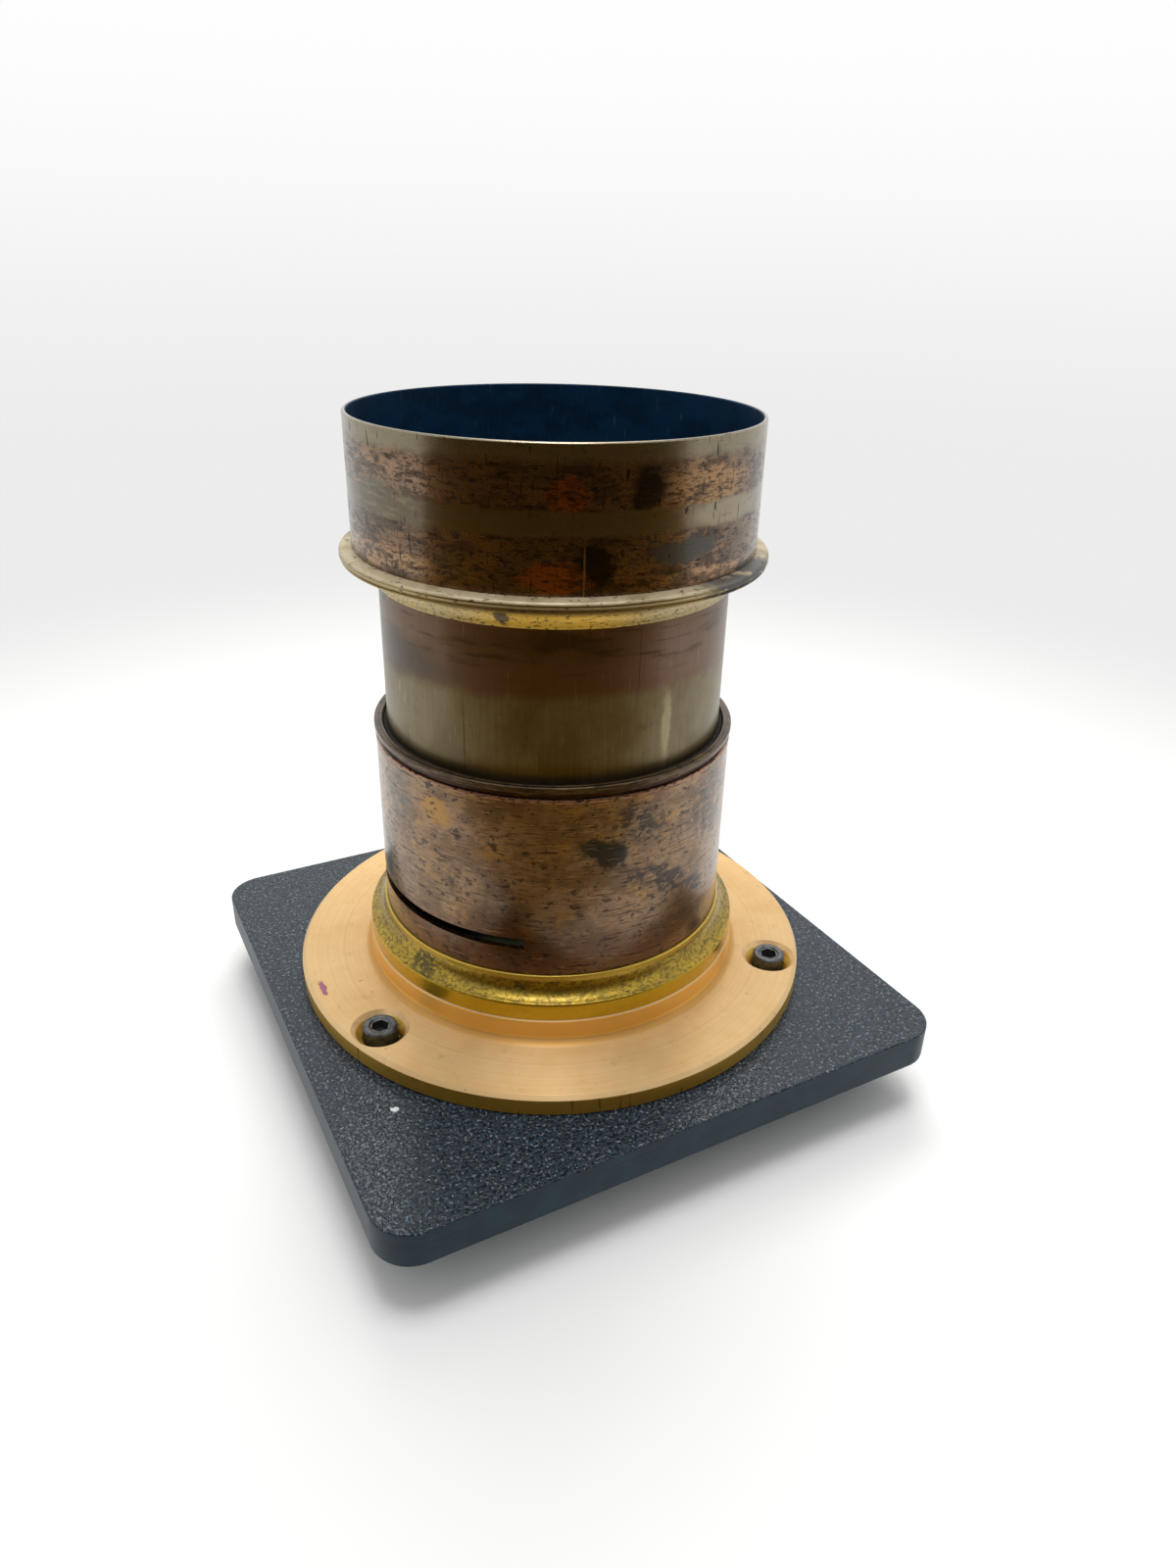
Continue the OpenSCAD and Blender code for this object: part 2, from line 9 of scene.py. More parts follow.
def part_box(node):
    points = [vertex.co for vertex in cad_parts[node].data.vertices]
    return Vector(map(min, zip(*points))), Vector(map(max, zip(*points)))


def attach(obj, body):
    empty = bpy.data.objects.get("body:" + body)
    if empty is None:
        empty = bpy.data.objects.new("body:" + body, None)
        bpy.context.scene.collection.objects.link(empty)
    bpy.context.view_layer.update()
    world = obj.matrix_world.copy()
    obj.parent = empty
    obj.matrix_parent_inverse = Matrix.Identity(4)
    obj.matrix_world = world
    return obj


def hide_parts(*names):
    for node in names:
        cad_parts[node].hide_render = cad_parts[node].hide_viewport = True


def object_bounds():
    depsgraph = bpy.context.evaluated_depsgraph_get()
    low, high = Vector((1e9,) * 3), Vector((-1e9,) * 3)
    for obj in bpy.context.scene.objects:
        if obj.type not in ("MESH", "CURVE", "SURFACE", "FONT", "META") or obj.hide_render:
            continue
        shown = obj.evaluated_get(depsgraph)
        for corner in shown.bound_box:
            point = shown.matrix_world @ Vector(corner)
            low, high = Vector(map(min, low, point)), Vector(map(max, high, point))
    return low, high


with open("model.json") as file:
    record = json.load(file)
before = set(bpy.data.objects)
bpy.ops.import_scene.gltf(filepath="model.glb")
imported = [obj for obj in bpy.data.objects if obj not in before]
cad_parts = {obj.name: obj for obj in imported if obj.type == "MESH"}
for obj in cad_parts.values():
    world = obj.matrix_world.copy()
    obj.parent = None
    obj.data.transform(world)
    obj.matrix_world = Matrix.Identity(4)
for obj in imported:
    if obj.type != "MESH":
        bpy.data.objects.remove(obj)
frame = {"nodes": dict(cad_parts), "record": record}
cadLow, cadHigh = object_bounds()
mm = 0.001
facing = -116.7                     # degrees round the axis, the side with the large stain
sharpShading = math.radians(38)     # an edge that turns more than this is shaded sharp
sharpEdge = math.radians(35)        # and one that turns more than this is broken, if turned
print("frame loaded:", len(frame["nodes"]), "nodes")


def linearColour(code):
    parts = [int(code[i:i + 2], 16) / 255 for i in (1, 3, 5)]
    return [c / 12.92 if c <= 0.04045 else ((c + 0.055) / 1.055) ** 2.4 for c in parts] + [1.0]


def addNode(tree, kind, settings=None, links=None):
    made = tree.nodes.new(kind)
    for name, value in (settings or {}).items():
        if isinstance(name, str) and hasattr(made, name):
            setattr(made, name, value)
        else:
            made.inputs[name].default_value = value
    for name, source in (links or {}).items():
        tree.links.new(source, made.inputs[name])
    return made


def emptyTree(holder):
    holder.use_nodes = True
    holder.node_tree.nodes.clear()
    return holder.node_tree


# Layers of a finish. Each is a pattern that is 0 outside and 1 inside, with what it changes there:
# colour, rough, metal or depth, by its amount. Limits are the noise values at which it starts and
# is full, and all sizes and depths are in millimetres. Turned rings, scratches and grit are finer
# on the real metal, and are drawn 0.1 mm wide or more so that they show.

def mottle(size, limits=(0.3, 0.7), **more):  # cloudy or streaky, as long as its size each way
    return dict(more, kind="mottle", size=size, limits=limits)


def rings(size, limits=(0.3, 0.7), **more):   # fine turned rings round the lens axis
    return dict(more, kind="rings", size=size, limits=limits)


def band(low, high, **more):                  # between two heights
    return dict(more, kind="band", between=(low, high))


# A stain on the recipe's wall, at a turn in degrees from facing and a height, as wide and tall as
# its size, and deep enough to pass through.
def stain(turn, high, size, deep=20, **more):
    return dict(more, kind="stain", angle=facing + turn, high=high, size=(deep, *size))


def makeMask(tree, place, layer, wall=0):
    kind = layer["kind"]
    if kind == "rings":
        flat = addNode(tree, "ShaderNodeVectorMath", {"operation": "MULTIPLY", 1: (1, 1, 0)},
                       {0: place})
        radius = addNode(tree, "ShaderNodeVectorMath", {"operation": "LENGTH"},
                         {0: flat.outputs[0]})
        split = addNode(tree, "ShaderNodeSeparateXYZ", {}, {0: place})
        across = addNode(tree, "ShaderNodeMath", {"operation": "ADD"},
                         {0: radius.outputs["Value"], 1: split.outputs[2]})
        grain = addNode(tree, "ShaderNodeTexNoise",
                        {"noise_dimensions": "1D", "Scale": 1000 / layer["size"], "Detail": 3,
                         "Roughness": 0.6}, {"W": across.outputs[0]})
        value = grain.outputs["Fac"]
    elif kind == "mottle":
        spread = addNode(tree, "ShaderNodeMapping",
                         {"Scale": [1000 / s for s in layer["size"]],
                          "Rotation": [math.radians(a) for a in layer.get("turn", (0, 0, 0))],
                          "Location": [layer.get("shift", 0)] * 3}, {0: place})
        grain = addNode(tree, "ShaderNodeTexNoise",
                        {"Scale": 1, "Detail": layer.get("detail", 4),
                         "Roughness": layer.get("busy", 0.55)}, {"Vector": spread.outputs[0]})
        value = grain.outputs["Fac"]
    else:                                     # a stain or band, its border pushed about by noise
        fray = layer.get("fray", 2)
        frayed = addNode(tree, "ShaderNodeTexNoise",
                         {"Scale": 1000 / layer.get("fraySize", 4), "Detail": 5,
                          "Roughness": 0.6}, {"Vector": place})
        pushed = addNode(tree, "ShaderNodeVectorMath",
                         {"operation": "MULTIPLY_ADD", 1: [fray * mm * 2] * 3},
                         {0: frayed.outputs["Color"], 2: place})
        if kind == "stain":
            angle = math.radians(layer["angle"])
            centre = Vector((wall * math.cos(angle), wall * math.sin(angle), layer["high"])) * mm
            centre += Vector((1, 1, 1)) * fray * mm
            local = addNode(tree, "ShaderNodeMapping",
                            {"vector_type": "TEXTURE", "Location": centre,
                             "Rotation": (math.radians(layer.get("tilt", 0)), 0, angle),
                             "Scale": [s * mm for s in layer["size"]]}, {0: pushed.outputs[0]})
            value = addNode(tree, "ShaderNodeVectorMath", {"operation": "LENGTH"},
                            {0: local.outputs[0]}).outputs["Value"]
            soft = layer.get("soft", 0.4)
        else:
            split = addNode(tree, "ShaderNodeSeparateXYZ", {}, {0: pushed.outputs[0]})
            low, high = [h + fray for h in layer["between"]]
            off = addNode(tree, "ShaderNodeMath",
                          {"operation": "SUBTRACT", 1: (low + high) / 2 * mm},
                          {0: split.outputs[2]})
            scaled = addNode(tree, "ShaderNodeMath",
                             {"operation": "MULTIPLY", 1: 2 / (high - low) / mm},
                             {0: off.outputs[0]})
            value = addNode(tree, "ShaderNodeMath", {"operation": "ABSOLUTE"},
                            {0: scaled.outputs[0]}).outputs[0]
            soft = layer.get("soft", 0.5) * 2 / (high - low)
        layer = dict(layer, limits=(1 + soft / 2, 1 - soft / 2))
    first, last = layer["limits"]
    mask = addNode(tree, "ShaderNodeMapRange",
                   {"interpolation_type": "SMOOTHSTEP", "From Min": first, "From Max": last,
                    "To Min": 0, "To Max": layer.get("amount", 1)}, {"Value": value}).outputs[0]
    if "within" in layer:
        inner = makeMask(tree, place, layer["within"])
        mask = addNode(tree, "ShaderNodeMath", {"operation": "MULTIPLY"},
                       {0: mask, 1: inner}).outputs[0]
    return mask


# What a layer can change: the mix's type, its first input, its output and the shader's socket.
channels = {"colour": ("RGBA", 6, 2, "Base Color"), "rough": ("FLOAT", 2, 0, "Roughness"),
            "metal": ("FLOAT", 2, 0, "Metallic")}


def finishMaterial(recipe):
    made = bpy.data.materials.new(recipe["name"])
    tree = emptyTree(made)
    place = addNode(tree, "ShaderNodeTexCoord").outputs["Object"]
    base = {"colour": linearColour(recipe["colour"]), "rough": recipe["rough"],
            "metal": recipe["shader"].get("Metallic", 0)}
    shader = addNode(tree, "ShaderNodeBsdfPrincipled", recipe["shader"] | {
        "Base Color": base["colour"], "Roughness": base["rough"]})
    sources, height = {}, None
    for layer in recipe["layers"]:
        mask = makeMask(tree, place, layer, recipe.get("wall", 0))
        for name, (kind, first, result, _) in channels.items():
            if name in layer:
                goal = linearColour(layer[name]) if name == "colour" else layer[name]
                mix = addNode(tree, "ShaderNodeMix",
                              {"data_type": kind, first: base[name], first + 1: goal},
                              {0: mask} | ({first: sources[name]} if name in sources else {}))
                sources[name] = mix.outputs[result]
        if "depth" in layer:
            raised = addNode(tree, "ShaderNodeMath",
                             {"operation": "MULTIPLY_ADD", 1: layer["depth"] * mm, 2: 0},
                             {0: mask} | ({2: height} if height else {}))
            height = raised.outputs[0]
    for name, source in sources.items():
        tree.links.new(source, shader.inputs[channels[name][3]])
    if height:
        bump = addNode(tree, "ShaderNodeBump", {"Strength": 1, "Distance": 1}, {"Height": height})
        tree.links.new(bump.outputs[0], shader.inputs["Normal"])
    if recipe.get("turned"):                  # the tool's grooves run round the lens axis
        groove = addNode(tree, "ShaderNodeTangent", {"direction_type": "RADIAL", "axis": "Z"})
        tree.links.new(groove.outputs[0], shader.inputs["Tangent"])
    addNode(tree, "ShaderNodeOutputMaterial", {}, {"Surface": shader.outputs[0]})
    return made


# Lacquered brass tube whose finish has gone: copper-brown metal with black oxide stains, wiped
# round and round so that its fine scratches run level.
sleeveBrass = finishMaterial({
    "name": "agedLacquerBrassSleeve", "colour": "#907457", "rough": 0.34, "wall": 45.6,
    "shader": {"Metallic": 0.96, "Coat Weight": 0.5, "Coat Roughness": 0.14},
    "layers": [
        mottle((10, 10, 8), (0.42, 0.6), detail=8, busy=0.62, shift=2, colour="#6f553b",
               amount=0.9),
        mottle((7, 7, 5), (0.52, 0.66), detail=8, busy=0.62, shift=7, colour="#9e7740",
               amount=0.75),
        mottle((3.2, 3.2, 0.5), (0.48, 0.62), detail=8, busy=0.72, shift=1, colour="#604731",
               amount=0.6),
        band(30, 57.5, fray=3, fraySize=16, soft=5, colour="#62432a", rough=0.3, amount=0.8),
        stain(-17, 58, (8, 6), fray=4, soft=0.9, colour="#623e15", amount=0.8),
        stain(46, 55, (6, 10), fray=4, soft=0.9, colour="#6b4719", amount=0.85),
        stain(-37, 87, (4.5, 3.5), fray=3, fraySize=5, soft=0.7, colour="#a67c3a", amount=0.8),
        mottle((3.4, 3.4, 2.2), (0.575, 0.62), detail=8, busy=0.66, shift=11, colour="#302a22",
               rough=0.46, amount=0.8),
        stain(15, 80.5, (7, 3.6), fray=4.5, fraySize=7, soft=0.35, tilt=-16, colour="#2d2b26",
              rough=0.5, amount=0.95),
        stain(27, 87, (6.5, 4), fray=5, fraySize=5, soft=0.8, tilt=-25, colour="#3a342e",
              rough=0.5, amount=0.85, within=mottle((2, 2, 1.4), (0.4, 0.52), detail=7, shift=3)),
        stain(-55, 86, (6, 7), fray=4, soft=0.8, colour="#59534b", amount=0.75,
              within=mottle((4, 4, 4), (0.38, 0.52), shift=6)),
        stain(-68, 66, (3.6, 8), fray=3.5, soft=0.6, colour="#2a2726", amount=0.85),
        stain(40, 68, (15, 2.6), fray=5, fraySize=5, soft=0.7, tilt=-28, colour="#38302f",
              rough=0.48, amount=0.85,
              within=mottle((2.6, 2.6, 1.6), (0.4, 0.5), detail=7, shift=12)),
        stain(58, 84, (10, 9), fray=3, soft=0.9, colour="#433d39", amount=0.85,
              within=mottle((2.5, 2.5, 2), (0.42, 0.52), detail=7, shift=5)),
        mottle((6, 6, 0.45), (0.58, 0.66), shift=3, colour="#2b1e15", rough=0.5, depth=-0.01,
               amount=0.8),
        mottle((1.5, 1.5, 0.7), (0.61, 0.66), detail=5, shift=6, turn=(0, 14, 20),
               colour="#251c15", depth=-0.015, amount=0.85),
        mottle((5, 5, 0.4), (0.61, 0.67), shift=15, colour="#bd9a70", amount=0.45),
        mottle((12, 12, 0.12), detail=2, depth=0.004),
    ]})

# The same drawn brass under the rim's darker lacquer, almost chestnut.
rimBrass = finishMaterial({
    "name": "darkLacquerBrassRim", "colour": "#5b4933", "rough": 0.34,
    "shader": {"Metallic": 0.92, "Coat Weight": 0.3, "Coat Roughness": 0.2},
    "layers": [
        mottle((9, 9, 2), (0.45, 0.6), detail=7, colour="#413223"),
        mottle((2.4, 2.4, 0.6), (0.56, 0.62), detail=7, shift=4, colour="#2e271b"),
        # A pale copper-pink band round the rim's foot, speckled, is a painted highlight.
        band(92.6, 94.75, fray=0.15, fraySize=1, soft=0.25, colour="#d09c80", amount=0.6,
             within=mottle((1.4, 1.4, 0.4), (0.4, 0.5), detail=5)),
        # The dark band above it is painted shadow under the lip.
        band(94.8, 96.1, fray=0.1, soft=0.3, colour="#361b14", amount=0.9),
        mottle((10, 10, 0.15), detail=2, depth=0.005),
        mottle((7, 7, 0.2), (0.6, 0.66), detail=3, shift=9, colour="#968155", amount=0.55),
    ]})

# Drawn brass tube polished lengthwise: bare and olive where it slides in the sleeve, purple-brown
# where old lacquer is left. Its polishing lines are drawn 0.4 mm wide so that they show.
tubeBrass = finishMaterial({
    "name": "brushedDrawnBrass", "colour": "#807455", "rough": 0.43, "wall": 42.56,
    "shader": {"Metallic": 0.98, "Coat Weight": 0.25, "Coat Roughness": 0.14},
    "layers": [
        mottle((9, 9, 12), (0.4, 0.66), detail=7, shift=3, colour="#6f603f", amount=0.85),
        mottle((3, 3, 3), (0.6, 0.72), detail=6, shift=8, colour="#604e32", amount=0.5),
        # A narrow pale streak running down the tube at +37 degrees is a painted highlight, a bright
        # reflection.
        stain(37, 108, (1.3, 9), fray=1.2, fraySize=3, soft=1.0, colour="#c9bc95", amount=0.5),
        band(117.6, 150, fray=3, fraySize=22, soft=3.4, colour="#6f5240", rough=0.36, amount=0.92),
        mottle((12, 12, 6), (0.45, 0.66), detail=6, shift=9, colour="#644b2a", amount=0.7,
               within=band(116, 150, soft=4)),
        stain(-58, 121, (17, 5), fray=4, fraySize=8, soft=1.0, colour="#423b35", amount=0.75),
        stain(34, 126, (10, 7), fray=4, fraySize=10, soft=1.4, colour="#866a62", amount=0.5),
        mottle((14, 14, 1.8), (0.52, 0.66), detail=7, busy=0.6, shift=5, colour="#37281c",
               amount=0.6, within=band(123, 150, soft=7)),
        stain(4, 130, (9, 2.4), fray=4, fraySize=5, soft=1.0, colour="#282118", amount=0.6),
        mottle((0.4, 0.4, 16), detail=5, colour="#594d39", rough=0.42, depth=0.002, amount=0.34),
        stain(-28, 106, (0.16, 11), fray=0.1, fraySize=12, soft=0.9, colour="#271d14", amount=0.6),
        stain(26, 126, (0.12, 9), fray=0.1, fraySize=12, soft=0.9, colour="#32251b", amount=0.5),
        mottle((0.25, 5, 7), (0.715, 0.74), detail=1, shift=12, turn=(18, 20, 15),
               colour="#b7a984", amount=0.22),
        mottle((0.9, 0.9, 0.7), (0.68, 0.74), shift=2, colour="#3d2e1b", amount=0.6),
    ]})

# Hood of drawn brass with a black and copper patina, worn back to olive brass in a level band
# where a cap has rubbed.
hoodBrass = finishMaterial({
    "name": "patinatedDrawnBrass", "colour": "#78624f", "rough": 0.24, "wall": 48.12,
    "shader": {"Metallic": 0.98, "Coat Weight": 0.35, "Coat Roughness": 0.1},
    "layers": [
        mottle((12, 12, 6), (0.42, 0.58), detail=7, shift=4, colour="#917055", amount=0.85),
        stain(42, 162.6, (13, 4.2), fray=3.4, soft=0.5, colour="#a8825a", rough=0.32, amount=0.95),
        stain(3, 162, (4.4, 3.2), fray=2.6, fraySize=3, soft=0.5, colour="#b96733", amount=0.85),
        stain(-47, 162, (15, 4), fray=3.4, fraySize=5, soft=0.7, colour="#a2846a", amount=0.85),
        stain(-52, 145.6, (18, 2.4), fray=3, fraySize=5, soft=0.6, colour="#ae8b66", amount=0.9),
        stain(1, 145.8, (8, 2.8), fray=3, soft=0.5, colour="#b96b36", amount=0.85),
        stain(42, 144.2, (15, 1.3), fray=1.6, soft=0.7, colour="#b18a67", amount=0.9),
        mottle((7, 7, 2.8), (0.5, 0.56), detail=9, busy=0.7, shift=1, colour="#372920", rough=0.36,
               amount=0.62),
        mottle((2.2, 2.2, 0.6), (0.54, 0.6), detail=8, busy=0.72, shift=14, colour="#241b16",
               rough=0.38, amount=0.75),
        mottle((2.6, 2.6, 1), (0.53, 0.585), detail=9, busy=0.74, shift=8, colour="#271e19",
               rough=0.4, amount=0.78, within=band(142, 168.4, soft=3)),
        stain(34, 150, (9, 2.6), fray=2.6, soft=0.3, colour="#514f4a", rough=0.34, amount=0.92),
        stain(10, 148.5, (3.6, 4.6), fray=3, fraySize=3, soft=0.6, colour="#1b1613", amount=0.88),
        stain(22, 163, (3.4, 4.2), fray=3, fraySize=3, soft=0.6, colour="#211b16", amount=0.8),
        stain(-51, 158, (6, 4), fray=3, fraySize=5, soft=0.6, colour="#7e7768", amount=0.88),
        band(154.2, 159.2, fray=0.9, fraySize=5, soft=0.9, colour="#84775e", rough=0.22,
             amount=0.84),
        band(168.6, 176, fray=1.8, fraySize=8, soft=2.4, colour="#8e846b", rough=0.26,
             amount=0.85),
        stain(-55, 157, (22, 5.5), fray=3, fraySize=5, soft=0.8, colour="#5f564a", amount=0.62,
              within=mottle((6, 6, 0.9), (0.36, 0.5), detail=7)),
        stain(50, 156.7, (11, 2.6), fray=0.8, fraySize=5, soft=0.6, colour="#a3977c", amount=0.65),
        stain(7, 147, (0.22, 6), fray=0.2, fraySize=6, soft=0.6, colour="#b79a70", amount=0.6),
        mottle((5, 5, 0.25), (0.63, 0.68), detail=5, turn=(8, 6, 0), colour="#241c16",
               depth=-0.008, amount=0.7),
        mottle((0.28, 3, 6), (0.69, 0.72), detail=1, turn=(25, 30, 20), colour="#211a14",
               depth=-0.01, amount=0.8),
        mottle((3, 0.3, 5), (0.7, 0.73), detail=1, shift=4, turn=(-20, 25, 10), colour="#211a14",
               depth=-0.01, amount=0.8),
        mottle((4, 4, 4), detail=1, depth=0.012),
        mottle((14, 14, 0.1), detail=2, depth=0.002),
    ]})

# Bead of turned brass, dull with age, its lines left by the turning tool.
beadBrass = finishMaterial({
    "name": "dullTurnedBrass", "colour": "#cdbd9d", "rough": 0.5, "wall": 51,
    "shader": {"Metallic": 0.35},
    "layers": [
        mottle((6, 6, 1.5), (0.42, 0.65), detail=7, shift=2, colour="#a3926c", amount=0.8),
        band(136, 141.25, fray=0.1, soft=0.2, colour="#97814f", rough=0.3, metal=0.95,
             amount=0.95),
        band(140.55, 140.85, fray=0.05, soft=0.15, colour="#c9bd9c", amount=0.6),
        stain(58, 141, (16, 6), fray=3, soft=0.7, colour="#454a4e", rough=0.44, amount=0.88,
              within=mottle((4, 4, 1.4), (0.34, 0.46), detail=7)),
        mottle((1.6, 1.6, 0.6), (0.6, 0.66), detail=7, shift=5, colour="#3a3327", amount=0.8),
        rings(0.25, depth=0.006),
    ]})

# Front collar in bright gold lacquer on turned brass, pitted with black.
goldCollar = finishMaterial({
    "name": "goldLacquerBrassCollar", "colour": "#f0bd3c", "rough": 0.44, "wall": 45,
    "shader": {"Metallic": 0.85, "Coat Weight": 0.4, "Coat Roughness": 0.2},
    "layers": [
        mottle((7, 7, 2), (0.42, 0.62), detail=7, colour="#c69a39", amount=0.8),
        # Painted light: a brighter, less metallic yellow patch round facing, and greyed patches at
        # either side, which are painted sheen.
        stain(-10, 136, (30, 20), soft=0.9, colour="#fbd052", metal=0.4, amount=0.9),
        stain(-52, 136, (24, 20), soft=0.8, colour="#b0a37e", amount=0.72),
        stain(52, 136, (24, 20), soft=0.8, colour="#a19879", amount=0.8),
        # A darker band round the collar's top, where its cove turns down under the bead, is painted
        # shade.
        band(136.9, 141, fray=0.7, fraySize=3, soft=1.4, colour="#8d7945", rough=0.4, amount=0.8),
        mottle((1.1, 1.1, 0.45), (0.55, 0.6), detail=7, busy=0.7, shift=3, colour="#42331b",
               rough=0.5, depth=-0.02, amount=0.9),
        stain(-15, 136, (1.6, 1.6), fraySize=2, soft=0.5, colour="#3d372d", rough=0.5,
              amount=0.85),
        rings(0.3, depth=0.004),
    ]})

# Base collar in gold lacquer on turned brass, freckled where the lacquer has let damp in.
baseCollar = finishMaterial({
    "name": "freckledLacquerBrass", "colour": "#b09233", "rough": 0.34, "wall": 48.5,
    "shader": {"Metallic": 0.95, "Coat Weight": 0.25, "Coat Roughness": 0.22},
    "layers": [
        mottle((9, 9, 3), (0.42, 0.6), detail=7, colour="#967d2e", amount=0.85),
        mottle((1.1, 1.1, 0.8), (0.48, 0.56), detail=9, busy=0.75, shift=4, colour="#6c5b22",
               rough=0.42, amount=0.85),
        mottle((5, 5, 2.2), (0.58, 0.64), detail=9, busy=0.7, shift=2, colour="#443d27", rough=0.5,
               amount=0.9),
        stain(-42, 43, (4.5, 3), fray=3.5, fraySize=3, soft=0.7, colour="#4e4527", rough=0.5,
              amount=0.85, within=mottle((1.5, 1.5, 1), (0.4, 0.5), detail=6)),
        mottle((0.8, 0.8, 0.5), (0.62, 0.67), detail=6, shift=9, colour="#3b321b", depth=-0.02),
        band(36, 41.1, fray=0.2, soft=0.3, colour="#c6a825", rough=0.26, amount=0.8),
        band(45.3, 48, fray=0.2, soft=0.3, colour="#cbac48", rough=0.3, amount=0.7),
        rings(0.25, depth=0.004),
    ]})

# Bare bronze flange straight from the lathe: the tool's rings are fine lines that fan the light.
flangeBronze = finishMaterial({
    "name": "turnedBareBronze", "colour": "#e0bf8c", "rough": 0.5, "wall": 66.6,
    "shader": {"Metallic": 0.48, "Anisotropic": 0.85, "Anisotropic Rotation": 0.25}, "turned": True,
    "layers": [
        mottle((18, 18, 18), (0.4, 0.65), detail=6, colour="#d4b07a", amount=0.7),
        rings(0.9, (0.3, 0.75), colour="#c39c66", rough=0.58, depth=0.003, amount=0.28),
        rings(0.22, rough=0.48, depth=0.002),
        mottle((5, 5, 5), (0.6, 0.74), detail=6, shift=6, colour="#bd9762", amount=0.5),
        mottle((1.2, 1.2, 1.2), (0.68, 0.74), shift=3, colour="#86673f", amount=0.6),
        stain(-63.5, 30.2, (3.4, 4), deep=0.9, fray=1.4, fraySize=3, soft=0.4, colour="#8c3f74",
              amount=0.9),
        band(30.3, 32.6, fray=0.1, soft=0.4, colour="#c8964a", metal=0.8, amount=0.8),
        band(31.6, 36.4, fray=0.15, soft=0.3, colour="#f0b856", rough=0.4, metal=0.62,
             amount=0.88),
        band(20, 29.1, fray=0.1, soft=0.2, colour="#c79f40", rough=0.36, metal=0.95, amount=0.95),
        mottle((1.6, 1.6, 14), (0.6, 0.68), detail=5, shift=1, colour="#4d3d20", amount=0.75,
               within=band(20, 29.2, fray=0.1, soft=0.2)),
    ]})

# Turned brass of the cells and the guide ring, under thin old lacquer.
cellBrass = finishMaterial({
    "name": "turnedLacquerBrass", "colour": "#cba451", "rough": 0.32,
    "shader": {"Metallic": 0.95, "Coat Weight": 0.2, "Coat Roughness": 0.2},
    "layers": [
        mottle((6, 6, 3), (0.42, 0.64), colour="#a27d3f", amount=0.8),
        mottle((1.2, 1.2, 0.8), (0.6, 0.68), detail=5, shift=5, colour="#5e4d2e", rough=0.45,
               amount=0.8),
        rings(0.25, depth=0.005),
    ]})

# Black japan paint inside the hood: blue-black and half glossy, with fine scratches down it.
japanPaint = finishMaterial({
    "name": "japanBlackPaint", "colour": "#053050", "rough": 0.5,
    "shader": {"Specular IOR Level": 0.12},
    "layers": [
        mottle((10, 10, 6), (0.4, 0.66), shift=3, colour="#04243e"),
        mottle((0.8, 0.8, 12), (0.56, 0.72), colour="#123248", rough=0.5, amount=0.7),
        mottle((0.2, 5, 6), (0.7, 0.74), detail=1, shift=5, turn=(10, 25, 30), colour="#4d5654",
               amount=0.6),
    ]})

# Flat black paint inside the tubes, brushed on, with a dusty look.
mattPaint = finishMaterial({
    "name": "mattBlackPaint", "colour": "#141416", "rough": 0.75,
    "shader": {},
    "layers": [
        mottle((3, 3, 3), (0.4, 0.7), colour="#1f1f20"),
        mottle((0.4, 0.4, 0.4), depth=0.02),
    ]})

# Black oxide on alloy steel: grey-black, half matt, bare steel shining on its edges.
oxideSteel = finishMaterial({
    "name": "blackOxideSteel", "colour": "#5c5d5f", "rough": 0.36,
    "shader": {"Metallic": 0.85},
    "layers": [
        mottle((1.4, 1.4, 1.4), (0.42, 0.66), colour="#3c3c3a", amount=0.8),
        mottle((0.4, 0.4, 0.4), (0.66, 0.74), shift=3, colour="#8d8672", amount=0.6),
        mottle((0.25, 0.25, 0.25), rough=0.5, depth=0.006),
    ]})

# Bright zinc plate on steel nuts and washers, slightly blue and cloudy.
zincSteel = finishMaterial({
    "name": "zincPlatedSteel", "colour": "#b9bcbf", "rough": 0.36,
    "shader": {"Metallic": 1.0},
    "layers": [
        mottle((1.5, 1.5, 1.5), (0.42, 0.66), colour="#9da1a6"),
        mottle((0.3, 0.3, 0.3), rough=0.44, depth=0.004),
    ]})

# Black wool felt, matt. Its nap is far finer, and is drawn 0.5 mm long so that it shows.
blackFelt = finishMaterial({
    "name": "woolFelt", "colour": "#0b0b0c", "rough": 0.95,
    "shader": {"Sheen Weight": 0.2, "Sheen Roughness": 0.6},
    "layers": [
        mottle((0.5, 0.5, 0.5), (0.35, 0.7), detail=6, colour="#1b1a1a", depth=0.12),
    ]})

# Printed board, PETG plastic printed face down on a textured plate: a grain of bumps about 0.85 mm
# apart on the face, that glint where they tip to the light, and pale specks painted on as glints
# besides.
boardFace = finishMaterial({
    "name": "printedPetgGrain", "colour": "#0e1a25", "rough": 0.22, "wall": 76.75,
    "shader": {"Specular IOR Level": 0.4},
    "layers": [
        mottle((0.85, 0.85, 0.85), (0.4, 0.6), detail=2, busy=0.5, colour="#223341", depth=0.17),
        mottle((14, 14, 14), (0.4, 0.65), colour="#14202b", amount=0.3),
        # Pale specks through the grain are painted glints.
        mottle((0.8, 0.8, 0.8), (0.62, 0.66), detail=1, shift=7, colour="#9aa4ad", amount=0.42),
        stain(-28.1, 24.8, (0.8, 4), deep=0.9, fray=0.8, fraySize=1, soft=0.3, colour="#e3e8ea",
              amount=0.95),
    ]})

# The board's edges: smooth walls of fine printed layers, drawn 0.4 mm apart so that they show.
boardEdge = finishMaterial({
    "name": "printedPetgLayers", "colour": "#152c3a", "rough": 0.4,
    "shader": {"Specular IOR Level": 0.2},
    "layers": [
        mottle((40, 40, 0.4), detail=2, colour="#1b3443", depth=0.012),
        mottle((9, 9, 9), (0.4, 0.65), colour="#10222e", amount=0.6),
    ]})

